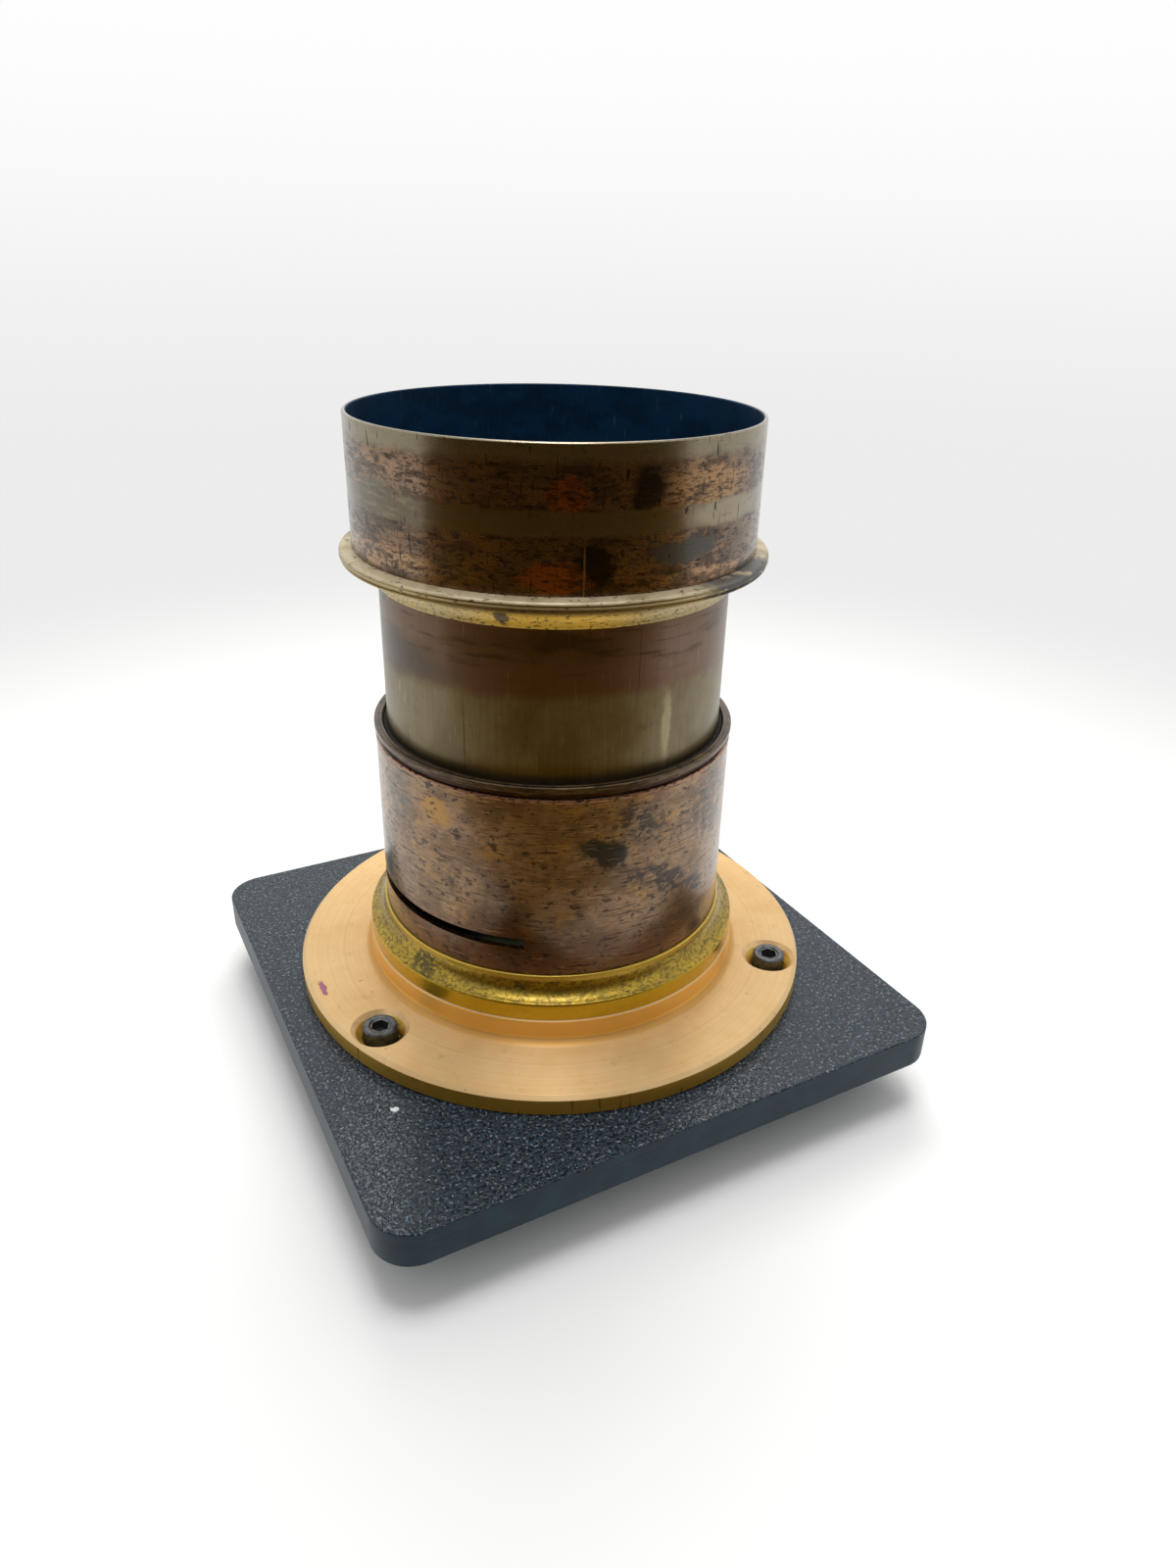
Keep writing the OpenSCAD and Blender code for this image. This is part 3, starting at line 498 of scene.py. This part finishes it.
# The board's back, the last layer that was printed: lines side by side, 0.4 mm wide and drawn
# 0.8 mm apart so that they show.
boardBack = finishMaterial({
    "name": "printedPetgLines", "colour": "#112434", "rough": 0.34,
    "shader": {"Specular IOR Level": 0.5},
    "layers": [
        mottle((0.8, 60, 60), detail=1, turn=(0, 0, 45), colour="#172e3f", depth=0.03),
    ]})


# Polished optical glass, clear with a faint warm or green cast by its kind.
def opticalGlass(name, tint, index):
    return finishMaterial({
        "name": name, "colour": tint, "rough": 0.0,
        "shader": {"Transmission Weight": 1.0, "IOR": index},
        "layers": [mottle((2, 2, 2), (0.66, 0.78), detail=3, rough=0.03, amount=0.5)]})


crownGlass = opticalGlass("polishedCrownGlass", "#f3fbf6", 1.52)
flintGlass = opticalGlass("polishedFlintGlass", "#fbfaf0", 1.62)
print("materials made:", len(bpy.data.materials))


def newVerts(made):
    return [v for v in made if isinstance(v, bmesh.types.BMVert)]


# Turned pieces: an outline of [radius, rise] points in millimetres, rise counted from the piece's
# foot. An arc is ["arc", centre radius, centre rise, degrees], turned from the point before it,
# with the degrees of one step last where they aren't 6.

def traceOutline(shape, outline, shiftR, foot):
    first, last = None, None
    for step in outline:
        if step[0] == "arc":
            centre = Vector((shiftR + step[1] * mm, 0, foot + step[2] * mm))
            steps = max(3, round(abs(step[3]) / (step[4] if len(step) > 4 else 6)))
            made = bmesh.ops.spin(shape, geom=[last], cent=centre, axis=(0, 1, 0),
                                  angle=math.radians(-step[3]), steps=steps, use_merge=False)
            last = newVerts(made["geom_last"])[0]
        else:
            across = shiftR + step[0] * mm if step[0] else 0
            vert = shape.verts.new((across, 0, foot + step[1] * mm))
            if last:
                shape.edges.new((last, vert))
            first, last = first or vert, vert
    if first.co.x > 1e-6 or last.co.x > 1e-6:
        shape.edges.new((last, first))


def breakEdges(shape, edges, width, segments, clamp=False):
    bmesh.ops.bevel(shape, geom=edges, offset=width * mm, offset_type="OFFSET",
                    segments=segments, profile=0.5, affect="EDGES", material=-1,
                    clamp_overlap=clamp)


def turnShape(outline, radius, foot, steps, edge=0.0):
    shape = bmesh.new()
    widest = max(p[0] for p in outline if p[0] != "arc") * mm
    traceOutline(shape, outline, radius - widest, foot)
    bmesh.ops.spin(shape, geom=shape.verts[:] + shape.edges[:], cent=(0, 0, 0), axis=(0, 0, 1),
                   angle=math.tau, steps=steps, use_merge=True)
    bmesh.ops.remove_doubles(shape, verts=shape.verts, dist=1e-7)
    bmesh.ops.recalc_face_normals(shape, faces=shape.faces)
    if edge:
        breakEdges(shape, [e for e in shape.edges if e.is_manifold
                           and e.calc_face_angle() > sharpEdge], edge, 2, True)
    return shape


def markSharp(shape):
    for line in shape.edges:
        line.smooth = len(line.link_faces) == 2 and line.calc_face_angle() < sharpShading


def meshOf(name, shape):
    mesh = bpy.data.meshes.new(name)
    shape.to_mesh(mesh)
    shape.free()
    return mesh


def addObject(name, data):
    made = bpy.data.objects.new(name, data)
    bpy.context.scene.collection.objects.link(made)
    return made


def makePiece(name, shape, materials, node):
    for face in shape.faces:
        face.smooth = True
    markSharp(shape)
    piece = addObject(name, meshOf(name, shape))
    for material in materials:
        piece.data.materials.append(material)
    weighted = piece.modifiers.new("evenShading", "WEIGHTED_NORMAL")
    weighted.keep_sharp = True
    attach(piece, [b for b, members in frame["record"]["behaviour"]["bodies"].items()
                    if node in members][0])
    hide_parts(node)
    return piece


def nodeRadius(node):
    low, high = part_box(node)
    return max(high.x, high.y, -low.x, -low.y), low.z


def blackenInside(shape):
    for face in shape.faces:
        centre = face.calc_center_median()
        outward = Vector((centre.x, centre.y, 0)).normalized()
        if face.normal.dot(outward) < -0.5 and outward.length:
            face.material_index = 1


def cutWith(piece, cutter, operation="DIFFERENCE"):
    tool = addObject("cutter", meshOf("cutter", cutter))
    shading = piece.modifiers["evenShading"]  # stays out of the mesh that is cut
    shading.show_viewport = False
    change = piece.modifiers.new("cut", "BOOLEAN")
    change.object, change.operation, change.solver = tool, operation, "EXACT"
    bpy.context.view_layer.update()
    graph = bpy.context.evaluated_depsgraph_get()
    result = bpy.data.meshes.new_from_object(piece.evaluated_get(graph))
    piece.modifiers.remove(change)
    shading.show_viewport = True
    piece.data = result
    bpy.data.objects.remove(tool)
    shape = bmesh.new()
    shape.from_mesh(result)
    bmesh.ops.remove_doubles(shape, verts=shape.verts, dist=1e-6)
    markSharp(shape)
    shape.to_mesh(result)
    shape.free()


def threadOutline(radius, low, high, pitch, depth):
    count = int((high - low) / pitch)
    return [p for i in range(count) for p in (
        [radius, low + i * pitch], [radius - depth, low + (i + 0.5) * pitch])]


# Every other column of corners on the outer wall moves in, which leaves upright ridges.
def flute(shape, radius, low, high, count, depth):
    moved = []
    for vert in shape.verts:
        off = Vector((vert.co.x, vert.co.y))
        if off.length > radius - 0.02 * mm and low < vert.co.z < high:
            if round(math.atan2(off.y, off.x) / math.tau * 2 * count) % 2:
                moved.append(vert)
    factor = 1 - depth * mm / radius
    bmesh.ops.transform(shape, matrix=Matrix.Diagonal((factor, factor, 1, 1)), verts=moved)


# Every turned piece: its CAD node, material slot, finish, broken edge, outline, and steps round the
# axis where they aren't 240. A second finish is the black paint inside.
turnedPieces = {
    "lensHood": {
        "node": "lens_hood", "slot": "hood_brass", "finish": [hoodBrass, japanPaint], "edge": 0.06,
        "steps": 320, "outline": [
            [47.09, 0], [47.57, 0], [47.57, 3.2], [48.12, 3.2], [48.12, 32.95], [47.87, 33.2],
            [47.34, 33.2], [47.09, 32.95]]},
    "hoodBead": {
        "node": "hood_bead", "slot": "bead_brass", "finish": [beadBrass], "edge": 0.05,
        "steps": 320, "outline": [
            [47.6, 0], [49.62, 0], [50.57, 0.4], ["arc", 50.57, 0.65, 150, 15], [50.42, 1.1],
            [50.42, 1.22], [50.97, 1.22], [51.12, 1.37], [51.12, 1.62], [51.02, 1.70],
            [51.12, 1.78], [51.12, 2.1], ["arc", 50.32, 2.1, 80, 10], [48.12, 3.2], [47.6, 3.2]]},
    "frontCollar": {
        "node": "front_collar", "slot": "gold_brass", "finish": [goldCollar, mattPaint],
        "edge": 0.06, "steps": 320, "outline": [
            [42.59, 0], [43.09, 0], [43.09, 0.4], ["arc", 47.49, 0.4, -90, 5], [47.49, 5.2],
            [47.04, 5.2], [47.04, 11.9], [46.74, 12.2], [45.49, 12.2], [45.49, 6.3], [40.96, 6.3],
            [40.96, 4.0], [42.59, 4.0]]},
    "frontCell": {
        "node": "front_cell", "slot": "cell_brass", "finish": [cellBrass, mattPaint], "edge": 0.06,
        "steps": 400, "flutes": {"low": 18.3, "high": 20.1, "count": 200, "depth": 0.28},
        "outline": [
            [36.51, 0], [40.61, 0], [40.91, 0.3], [40.91, 12], [45.44, 12], [45.44, 17.9],
            [46.19, 17.9], [46.49, 18.2], [46.49, 18.6], [46.49, 19.9], [46.49, 20.2],
            [46.19, 20.5], [44.89, 20.5], [44.29, 19.5], [43.8, 19.5], [43.2, 18.5], [42.7, 18.5],
            [42.1, 17.5], [41.6, 17.5], [41.0, 16.5], [40.5, 16.5], [39.9, 15.4], [39.3, 15.4],
            [38.51, 14.0], [38.51, 1.2], [36.51, 1.2]]},
    "frontRetainingRing": {
        "node": "front_retaining_ring", "slot": "black_paint", "finish": [mattPaint], "edge": 0.08,
        "outline": [[36.96, 0], [38.46, 0], [38.46, 2.252], [36.96, 2.252]]},
    "drawTube": {
        "node": "draw_tube", "slot": "tube_brass", "finish": [tubeBrass, mattPaint], "edge": 0.1,
        "steps": 320, "outline": [[41.16, 0], [42.56, 0], [42.56, 78.4], [41.16, 78.4]]},
    "tubeGuideRing": {
        "node": "tube_guide_ring", "slot": "cell_brass", "finish": [cellBrass], "edge": 0.05,
        "outline": [[42.59, 0], [43.75, 0], [44.05, 0.3], [44.05, 5.7], [43.75, 6], [42.59, 6]]},
    "tubeBaffle": {
        "node": "tube_baffle", "slot": "black_paint", "finish": [mattPaint], "edge": 0.08,
        "outline": [[38.6, 0], [41.13, 0], [41.13, 6], [40.33, 6], [40.33, 0.8], [38.6, 0.8]]},
    "sleeveRim": {
        "node": "sleeve_rim", "slot": "rim_brass", "finish": [rimBrass], "edge": 0.05,
        "steps": 320, "outline": [
            [43.66, 0], [44.81, 0], [44.81, 9.6], [45.6, 9.6], [45.7, 9.9], [45.6, 10.4],
            [44.9, 10.7], [44.9, 12.1], [45.75, 12.1], [45.9, 12.25], [45.9, 13.4], [45.6, 13.7],
            [44.75, 13.7], [44.65, 13.6], [44.55, 13.7], [43.96, 13.7], [43.66, 13.4]]},
    "outerSleeve": {
        "node": "outer_sleeve", "slot": "sleeve_brass", "finish": [sleeveBrass, mattPaint],
        "edge": 0.05, "steps": 320,
        "outline": [[44.1, 0], [45.6, 0], [45.6, 52], [44.86, 52], [44.86, 42.0], [44.1, 42.0]]},
    "baseCollar": {
        "node": "base_collar", "slot": "collar_brass", "finish": [baseCollar, mattPaint],
        "edge": 0.06, "steps": 320,
        "outline": [[43.2, 0], [46.4, 0]] + threadOutline(46.95, 0.6, 7.0, 1.06, 0.5) + [
            [46.95, 7.4], [46.95, 28.8], [50.29, 28.8], [50.29, 32.7], [50.18, 33.1],
            [49.944, 33.30], ["arc", 50.9, 37.8, -78, 5], [46.3, 38.5], [46.0, 38.8],
            [45.63, 38.8], [45.63, 33.8], [44.1, 33.8], [44.1, 14], [43.2, 14]]},
    "mountingFlange": {
        "node": "mounting_flange", "slot": "flange_bronze", "finish": [flangeBronze], "edge": 0.08,
        "steps": 384, "outline": [
            [47, 0], [69.55, 0], [69.85, 0.3], [69.85, 4.4], [68.85, 5.4], [53.2, 5.4],
            [53.0, 5.4], ["arc", 53.0, 7.8, -90, 6], [50.6, 8.2], [50.6, 11.5], [50.1, 12],
            [47, 12]]},
    "rearCell": {
        "node": "rear_cell", "slot": "cell_brass", "finish": [cellBrass, mattPaint], "edge": 0.08,
        "steps": 360, "flutes": {"low": 0.9, "high": 7.0, "count": 180, "depth": 0.45},
        "outline": [
            [44.0, 0], [47.6, 0], [48.2, 0.6], [48.2, 1.2], [48.2, 6.6], [48.2, 7.4], [47.6, 8],
            [43.15, 8], [43.15, 20], [39.95, 20], [39.95, 23.144], [37.55, 23.144], [37.55, 9],
            [36, 9], [36, 7]]},
    "rearSpacerRing": {
        "node": "rear_spacer_ring", "slot": "black_paint", "finish": [mattPaint], "edge": 0.08,
        "outline": [[35.9, 0], [37.5, 0], [37.5, 2.686], [35.9, 2.686]]},
    "rearRetainingRing": {
        "node": "rear_retaining_ring", "slot": "black_paint", "finish": [mattPaint], "edge": 0.08,
        "outline": [[36.1, 0], [37.5, 0], [37.5, 1.6], [36.1, 1.6]]},
    "frontCrownGlass": {
        "node": "front_crown_glass", "slot": "crown_glass", "finish": [crownGlass], "outline": [
            [0, 0], ["arc", 0, 130, 17.21, 0.6], [38.46, 7.466], ["arc", 0, -95.591, 20.47, 0.6]]},
    "frontFlintGlass": {
        "node": "front_flint_glass", "slot": "flint_glass", "finish": [flintGlass], "outline": [
            [0, 0], [38.46, 0], [38.46, 8.196], [38.06, 8.196], ["arc", 0, 132.5, -17.02, 0.6]]},
    "rearCrownGlass": {
        "node": "rear_crown_glass", "slot": "crown_glass", "finish": [crownGlass], "outline": [
            [0, 0], ["arc", 0, 260, 8.293, 0.4], [37.5, 5.7186], ["arc", 0, -108.27, 18.21, 0.6]]},
    "rearFlintGlass": {
        "node": "rear_flint_glass", "slot": "flint_glass", "finish": [flintGlass], "outline": [
            [0, 6.1487], ["arc", 0, -108.85, -18.82, 0.6], [37.5, 0], [37.5, 5.73],
            ["arc", 0, -251.55, 8.293, 0.4]]},
    "rimFelt": {
        "node": "felt_ring", "slot": "black_felt", "finish": [blackFelt], "edge": 0.2,
        "steps": 360,
        "outline": [[42.61, 0], [43.63, 0], [43.63, 11], [43.3, 11], [42.95, 11], [42.61, 11]]},
}

made = {}
for name, spec in turnedPieces.items():
    radius, foot = nodeRadius(spec["node"])
    shape = turnShape(spec["outline"], radius, foot, spec.get("steps", 240), spec.get("edge", 0))
    if len(spec["finish"]) > 1:
        blackenInside(shape)
    if "flutes" in spec:
        f = spec["flutes"]
        flute(shape, radius, foot + f["low"] * mm, foot + f["high"] * mm, f["count"], f["depth"])
    made[name] = makePiece(name, shape, spec["finish"], spec["node"])
print("turned pieces made:", len(made))

# Screw holes in the flange, stop slot in the sleeve.
screws = {"count": 3, "circle": 62, "azimuth": -160, "headR": 4.35, "holeR": 4.7,
          "countersinkR": 7.3, "shankR": 2.5, "shankHoleR": 2.75, "seat": 1.4, "headHeight": 5.0,
          "shankLength": 10, "tipR": 1.9, "thread": (0.5, 8.5), "threadDepth": 0.35,
          "pitch": 0.8, "runOut": 8.9, "headChamfer": 0.5, "socketFlats": 4.0,
          "socketDepth": 2.8, "socketTurn": 12, "mouthR": 2.8, "mouthChamfer": 0.4,
          "knurls": 60, "knurled": (0.3, 4.2), "knurlDepth": 0.14, "plain": (0.4, 0.9),
          "edge": 0.05}
bossRise = 6.6                                # how far the flange's boss stands above its flat ring
flangeLow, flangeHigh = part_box("mounting_flange")
boardLow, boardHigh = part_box("lens_board")
screwSpots = [math.radians(screws["azimuth"] + i * 360 / screws["count"])
              for i in range(screws["count"])]


def placeAtScrews(shape):
    whole = shape.verts[:] + shape.edges[:] + shape.faces[:]
    copies = [whole] + [bmesh.ops.duplicate(shape, geom=whole)["geom"] for _ in screwSpots[1:]]
    for copy, angle in zip(copies, screwSpots):
        shift = Matrix.Rotation(angle, 4, "Z") @ Matrix.Translation((screws["circle"] * mm, 0, 0))
        bmesh.ops.transform(shape, matrix=shift, verts=newVerts(copy))


def repeatAtScrews(piece):
    shape = bmesh.new()
    shape.from_mesh(piece.data)
    placeAtScrews(shape)
    shape.to_mesh(piece.data)
    shape.free()


def hexCorner(flats):
    return flats / 2 / math.cos(math.radians(30))


def hexBar(flats, foot, height, turn=0):
    shape = bmesh.new()
    bmesh.ops.create_circle(shape, cap_ends=True, segments=6, radius=hexCorner(flats) * mm)
    walls = bmesh.ops.extrude_face_region(shape, geom=shape.faces[:])
    bmesh.ops.translate(shape, vec=(0, 0, height * mm), verts=newVerts(walls["geom"]))
    bmesh.ops.translate(shape, vec=(0, 0, foot), verts=shape.verts)
    bmesh.ops.rotate(shape, cent=(0, 0, 0), matrix=Matrix.Rotation(math.radians(turn), 3, "Z"),
                     verts=shape.verts)
    bmesh.ops.recalc_face_normals(shape, faces=shape.faces)
    return shape


sinkR = screws["countersinkR"]
faceRise = (flangeHigh.z - flangeLow.z) / mm - bossRise
holes = turnShape([[0, -1], [screws["shankHoleR"], -1], [screws["shankHoleR"], screws["seat"]],
                   [screws["holeR"], screws["seat"]],
                   [screws["holeR"], faceRise - sinkR + screws["holeR"]],
                   [sinkR + 1, faceRise + 1], [0, faceRise + 1]],
                  (sinkR + 1) * mm, flangeLow.z, 64)
placeAtScrews(holes)
cutWith(made["mountingFlange"], holes)

slotCut = {"height": 2.8, "rise": 13.6, "reach": 11.8, "azimuth": 160, "blade": (100, 200)}
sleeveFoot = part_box("outer_sleeve")[0].z
deep, wide = slotCut["blade"]
blade = bmesh.new()
bmesh.ops.create_cube(blade, size=1)
bmesh.ops.transform(
    blade, verts=blade.verts,
    matrix=Matrix.Rotation(math.radians(slotCut["azimuth"]), 4, "Z")
    @ Matrix.Translation(((slotCut["reach"] + deep / 2) * mm, 0,
                          sleeveFoot + slotCut["rise"] * mm))
    @ Matrix.Diagonal((deep * mm, wide * mm, slotCut["height"] * mm, 1)))
cutWith(made["outerSleeve"], blade)
print("holes and slot cut")

# Cap screws with a hex socket, a fine straight knurl and a real thread.
seatLevel = flangeLow.z + screws["seat"] * mm
shank, headR, chamfer = screws["shankLength"], screws["headR"], screws["headChamfer"]
tip = seatLevel - shank * mm
total = shank + screws["headHeight"]
plainFoot, plainTop = screws["plain"]         # what the knurl leaves plain at its ends
mouthR, mouthEdge = screws["mouthR"], screws["mouthChamfer"]
screwProfile = [[0, 0], [screws["tipR"], 0]] + threadOutline(
    screws["shankR"], *screws["thread"], screws["pitch"], screws["threadDepth"]) + [
    [screws["shankR"], screws["runOut"]], [screws["shankR"], shank], [headR, shank],
    [headR, shank + plainFoot], [headR, total - plainTop], [headR, total - chamfer],
    [headR - chamfer, total], [mouthR, total], [mouthR - mouthEdge, total - mouthEdge],
    [0, total - mouthEdge]]
shape = turnShape(screwProfile, headR * mm, tip, 2 * screws["knurls"], screws["edge"])
low, high = [seatLevel + h * mm for h in screws["knurled"]]
flute(shape, headR * mm, low, high, screws["knurls"], screws["knurlDepth"])
capScrews = makePiece("flangeCapScrews", shape, [oxideSteel], "flange_screws")
cutWith(capScrews, hexBar(screws["socketFlats"], tip + (total - screws["socketDepth"]) * mm,
                          screws["socketDepth"] + 1, screws["socketTurn"]))
repeatAtScrews(capScrews)

# Washers and chamfered hex nuts behind the board.
washer = {"boreR": 2.75, "rimR": 5.0, "edge": 0.12}
washerLow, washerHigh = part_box("flange_washers")
thick = (washerHigh.z - washerLow.z) / mm
shape = turnShape([[washer["boreR"], 0], [washer["rimR"], 0], [washer["rimR"], thick],
                   [washer["boreR"], thick]], washer["rimR"] * mm, washerLow.z, 64,
                  washer["edge"])
placeAtScrews(shape)
makePiece("flangeWashers", shape, [zincSteel], "flange_washers")

nut = {"flats": 8.0, "boreR": 2.55, "chamfer": 0.5, "faceIn": 0.2, "spare": 0.1, "past": 0.01}
nutLow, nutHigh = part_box("flange_nuts")
nutHeight = (nutHigh.z - nutLow.z) / mm
nuts = makePiece("flangeNuts", hexBar(nut["flats"], nutLow.z, nutHeight), [zincSteel],
                 "flange_nuts")
faceR, rimR = nut["flats"] / 2 - nut["faceIn"], hexCorner(nut["flats"]) + nut["spare"]
cone = turnShape([[nut["boreR"], -nut["past"]], [faceR, -nut["past"]], [rimR, nut["chamfer"]],
                  [rimR, nutHeight - nut["chamfer"]], [faceR, nutHeight + nut["past"]],
                  [nut["boreR"], nutHeight + nut["past"]]],
                 rimR * mm, nutLow.z - nut["past"] * mm, 96)
cutWith(nuts, cone, "INTERSECT")
repeatAtScrews(nuts)
print("screws, washers and nuts made")

# Board: a printed plate with round corners, broken edges, holes, and a round pocket for each washer
# and nut.
board = {"cornerR": 9.8, "edge": 0.45, "holeR": 48.5, "holeSteps": 192, "pocketR": 5.6}
size = boardHigh - boardLow
middle = (boardHigh + boardLow) / 2
shape = bmesh.new()
bmesh.ops.create_cube(shape, size=1)
bmesh.ops.transform(shape, matrix=Matrix.Translation(middle) @ Matrix.Diagonal((*size, 1)),
                    verts=shape.verts)
breakEdges(shape, [e for e in shape.edges
                   if abs(e.verts[0].co.z - e.verts[1].co.z) > size.z / 2], board["cornerR"], 20)
breakEdges(shape, [e for e in shape.edges if abs(e.verts[0].co.z - e.verts[1].co.z) < 1e-6
                   and e.calc_face_angle() > 1], board["edge"], 4)
for face in shape.faces:
    face.material_index = 0 if face.normal.z > 0.5 else 2 if face.normal.z < -0.5 else 1
lensBoard = makePiece("lensBoard", shape, [boardFace, boardEdge, boardBack], "lens_board")
past = boardLow.z - mm
for radius, low, high, steps, atScrews in (
        (board["holeR"], middle.z - size.z, middle.z + size.z, board["holeSteps"], False),
        (screws["shankHoleR"], middle.z - size.z, middle.z + size.z, 48, True),
        (board["pocketR"], past, washerHigh.z, 64, True)):
    hole = bmesh.new()
    bmesh.ops.create_cone(hole, cap_ends=True, segments=steps, radius1=radius * mm,
                          radius2=radius * mm, depth=high - low,
                          matrix=Matrix.Translation((0, 0, (low + high) / 2)))
    if atScrews:
        placeAtScrews(hole)
    cutWith(lensBoard, hole)
print("board made")

# Floor: matt white paper that fades out into the white world.
studio = {"floorColour": "#f4f4f3", "floorR": 1.7, "fadeFrom": 0.16, "fadeTo": 0.52,
          "worldColour": "#fdfefd", "lightLow": 0.05, "lightHigh": 0.95, "shownLow": 0.85,
          "shownHigh": 1.0, "horizon": 0.16}
shape = bmesh.new()
bmesh.ops.create_circle(shape, cap_ends=True, segments=96, radius=studio["floorR"])
studioFloor = addObject("studioFloor", meshOf("studioFloor", shape))
paper = bpy.data.materials.new("mattWhitePaper")
tree = emptyTree(paper)
place = addNode(tree, "ShaderNodeTexCoord").outputs["Object"]
matt = addNode(tree, "ShaderNodeBsdfDiffuse", {"Color": linearColour(studio["floorColour"])})
clear = addNode(tree, "ShaderNodeBsdfTransparent")
away = addNode(tree, "ShaderNodeVectorMath", {"operation": "LENGTH"}, {0: place})
fade = addNode(tree, "ShaderNodeMapRange",
               {"interpolation_type": "SMOOTHSTEP", "From Min": studio["fadeFrom"],
                "From Max": studio["fadeTo"]}, {"Value": away.outputs["Value"]})
both = addNode(tree, "ShaderNodeMixShader", {},
               {0: fade.outputs[0], 1: matt.outputs[0], 2: clear.outputs[0]})
addNode(tree, "ShaderNodeOutputMaterial", {}, {"Surface": both.outputs[0]})
studioFloor.data.materials.append(paper)

# World: it lights the lens from above, and is a near white backdrop where it is seen.
world = bpy.data.worlds.new("studioWorld")
bpy.context.scene.world = world
tree = emptyTree(world)
path = addNode(tree, "ShaderNodeLightPath")
seen = path.outputs["Is Camera Ray"]
for ray in ("Is Glossy Ray", "Is Transmission Ray"):
    seen = addNode(tree, "ShaderNodeMath", {"operation": "ADD", "use_clamp": True},
                   {0: seen, 1: path.outputs[ray]}).outputs[0]
height = addNode(tree, "ShaderNodeSeparateXYZ", {},
                 {0: addNode(tree, "ShaderNodeTexCoord").outputs["Generated"]})
shown = addNode(tree, "ShaderNodeMapRange",
                {"interpolation_type": "SMOOTHSTEP", "From Min": -studio["horizon"],
                 "From Max": studio["horizon"], "To Min": studio["shownLow"],
                 "To Max": studio["shownHigh"]}, {"Value": height.outputs[2]})
given = addNode(tree, "ShaderNodeMapRange",
                {"To Min": studio["lightLow"], "To Max": studio["lightHigh"]},
                {"Value": height.outputs[2]})
level = addNode(tree, "ShaderNodeMix", {"data_type": "FLOAT"},
                {0: seen, 2: given.outputs[0], 3: shown.outputs[0]})
sky = addNode(tree, "ShaderNodeBackground", {"Color": linearColour(studio["worldColour"])},
              {"Strength": level.outputs[0]})
addNode(tree, "ShaderNodeOutputWorld", {}, {"Surface": sky.outputs[0]})

lamps = {
    "softboxBack": {"at": (0.4, 0.74, 1.35), "size": 0.75, "power": 9, "colour": "#fffdf9"},
    "softboxTop": {"at": (-0.05, -0.086, 1.45), "size": 0.5, "power": 8, "colour": "#ffffff"},
}
target = (cadLow + cadHigh) / 2
for name, spec in lamps.items():
    light = bpy.data.lights.new(name, "AREA")
    light.shape, light.size, light.size_y = "RECTANGLE", spec["size"], spec["size"]
    light.energy = spec["power"]
    light.color = linearColour(spec["colour"])[:3]
    lamp = addObject(name, light)
    lamp.location = Vector(spec["at"])
    lamp.rotation_euler = (target - lamp.location).to_track_quat("-Z", "Y").to_euler()

# A dark card in front of the lens, for the metal to mirror: it glows brown and shows only in
# reflections, a painted reflection that gives polished brass its depth.
card = {"colour": "#8c6e20", "highColour": "#4d390e", "fadeFrom": 0.045, "fadeTo": 0.12,
        "near": 0.135, "far": 0.6, "foot": 0.001, "top": 0.85, "halfWidth": 0.46}
shape = bmesh.new()
bmesh.ops.create_grid(shape, x_segments=1, y_segments=1, size=1)
slope = Vector((card["far"] - card["near"], 0, card["top"]))
bmesh.ops.transform(
    shape, verts=shape.verts,
    matrix=Matrix.Rotation(math.radians(facing), 4, "Z")
    @ Matrix.Translation(Vector((card["near"], 0, card["foot"])) + slope / 2)
    @ Matrix.Rotation(-math.atan2(slope.z, slope.x), 4, "Y")
    @ Matrix.Diagonal((slope.length / 2, card["halfWidth"], 1, 1)))
darkCard = addObject("darkCard", meshOf("darkCard", shape))
for kind in ("camera", "diffuse", "transmission", "volume_scatter", "shadow"):
    setattr(darkCard, "visible_" + kind, False)
cardGlow = bpy.data.materials.new("darkCardPaintedReflection")
tree = emptyTree(cardGlow)
split = addNode(tree, "ShaderNodeSeparateXYZ", {},
                {0: addNode(tree, "ShaderNodeTexCoord").outputs["Object"]})
upper = addNode(tree, "ShaderNodeMapRange",
                {"From Min": card["fadeFrom"], "From Max": card["fadeTo"]},
                {"Value": split.outputs[2]})
tone = addNode(tree, "ShaderNodeMix",
               {"data_type": "RGBA", 6: linearColour(card["colour"]),
                7: linearColour(card["highColour"])}, {0: upper.outputs[0]})
dim = addNode(tree, "ShaderNodeEmission", {}, {"Color": tone.outputs[2]})
addNode(tree, "ShaderNodeOutputMaterial", {}, {"Surface": dim.outputs[0]})
darkCard.data.materials.append(cardGlow)

view = {"place": (-0.114966, -0.228528, 0.205244), "turn": (63.1907, -1.2835, -28.1703),
        "lens": 24.439, "sensor": 36, "clip": (0.01, 20)}
cameraData = bpy.data.cameras.new("studioCamera")
cameraData.lens, cameraData.sensor_width = view["lens"], view["sensor"]
cameraData.clip_start, cameraData.clip_end = view["clip"]
camera = addObject("studioCamera", cameraData)
camera.location = view["place"]
camera.rotation_euler = Euler([math.radians(a) for a in view["turn"]])
bpy.context.scene.camera = camera
bpy.context.scene.view_settings.view_transform = "Standard"
print("studio ready")
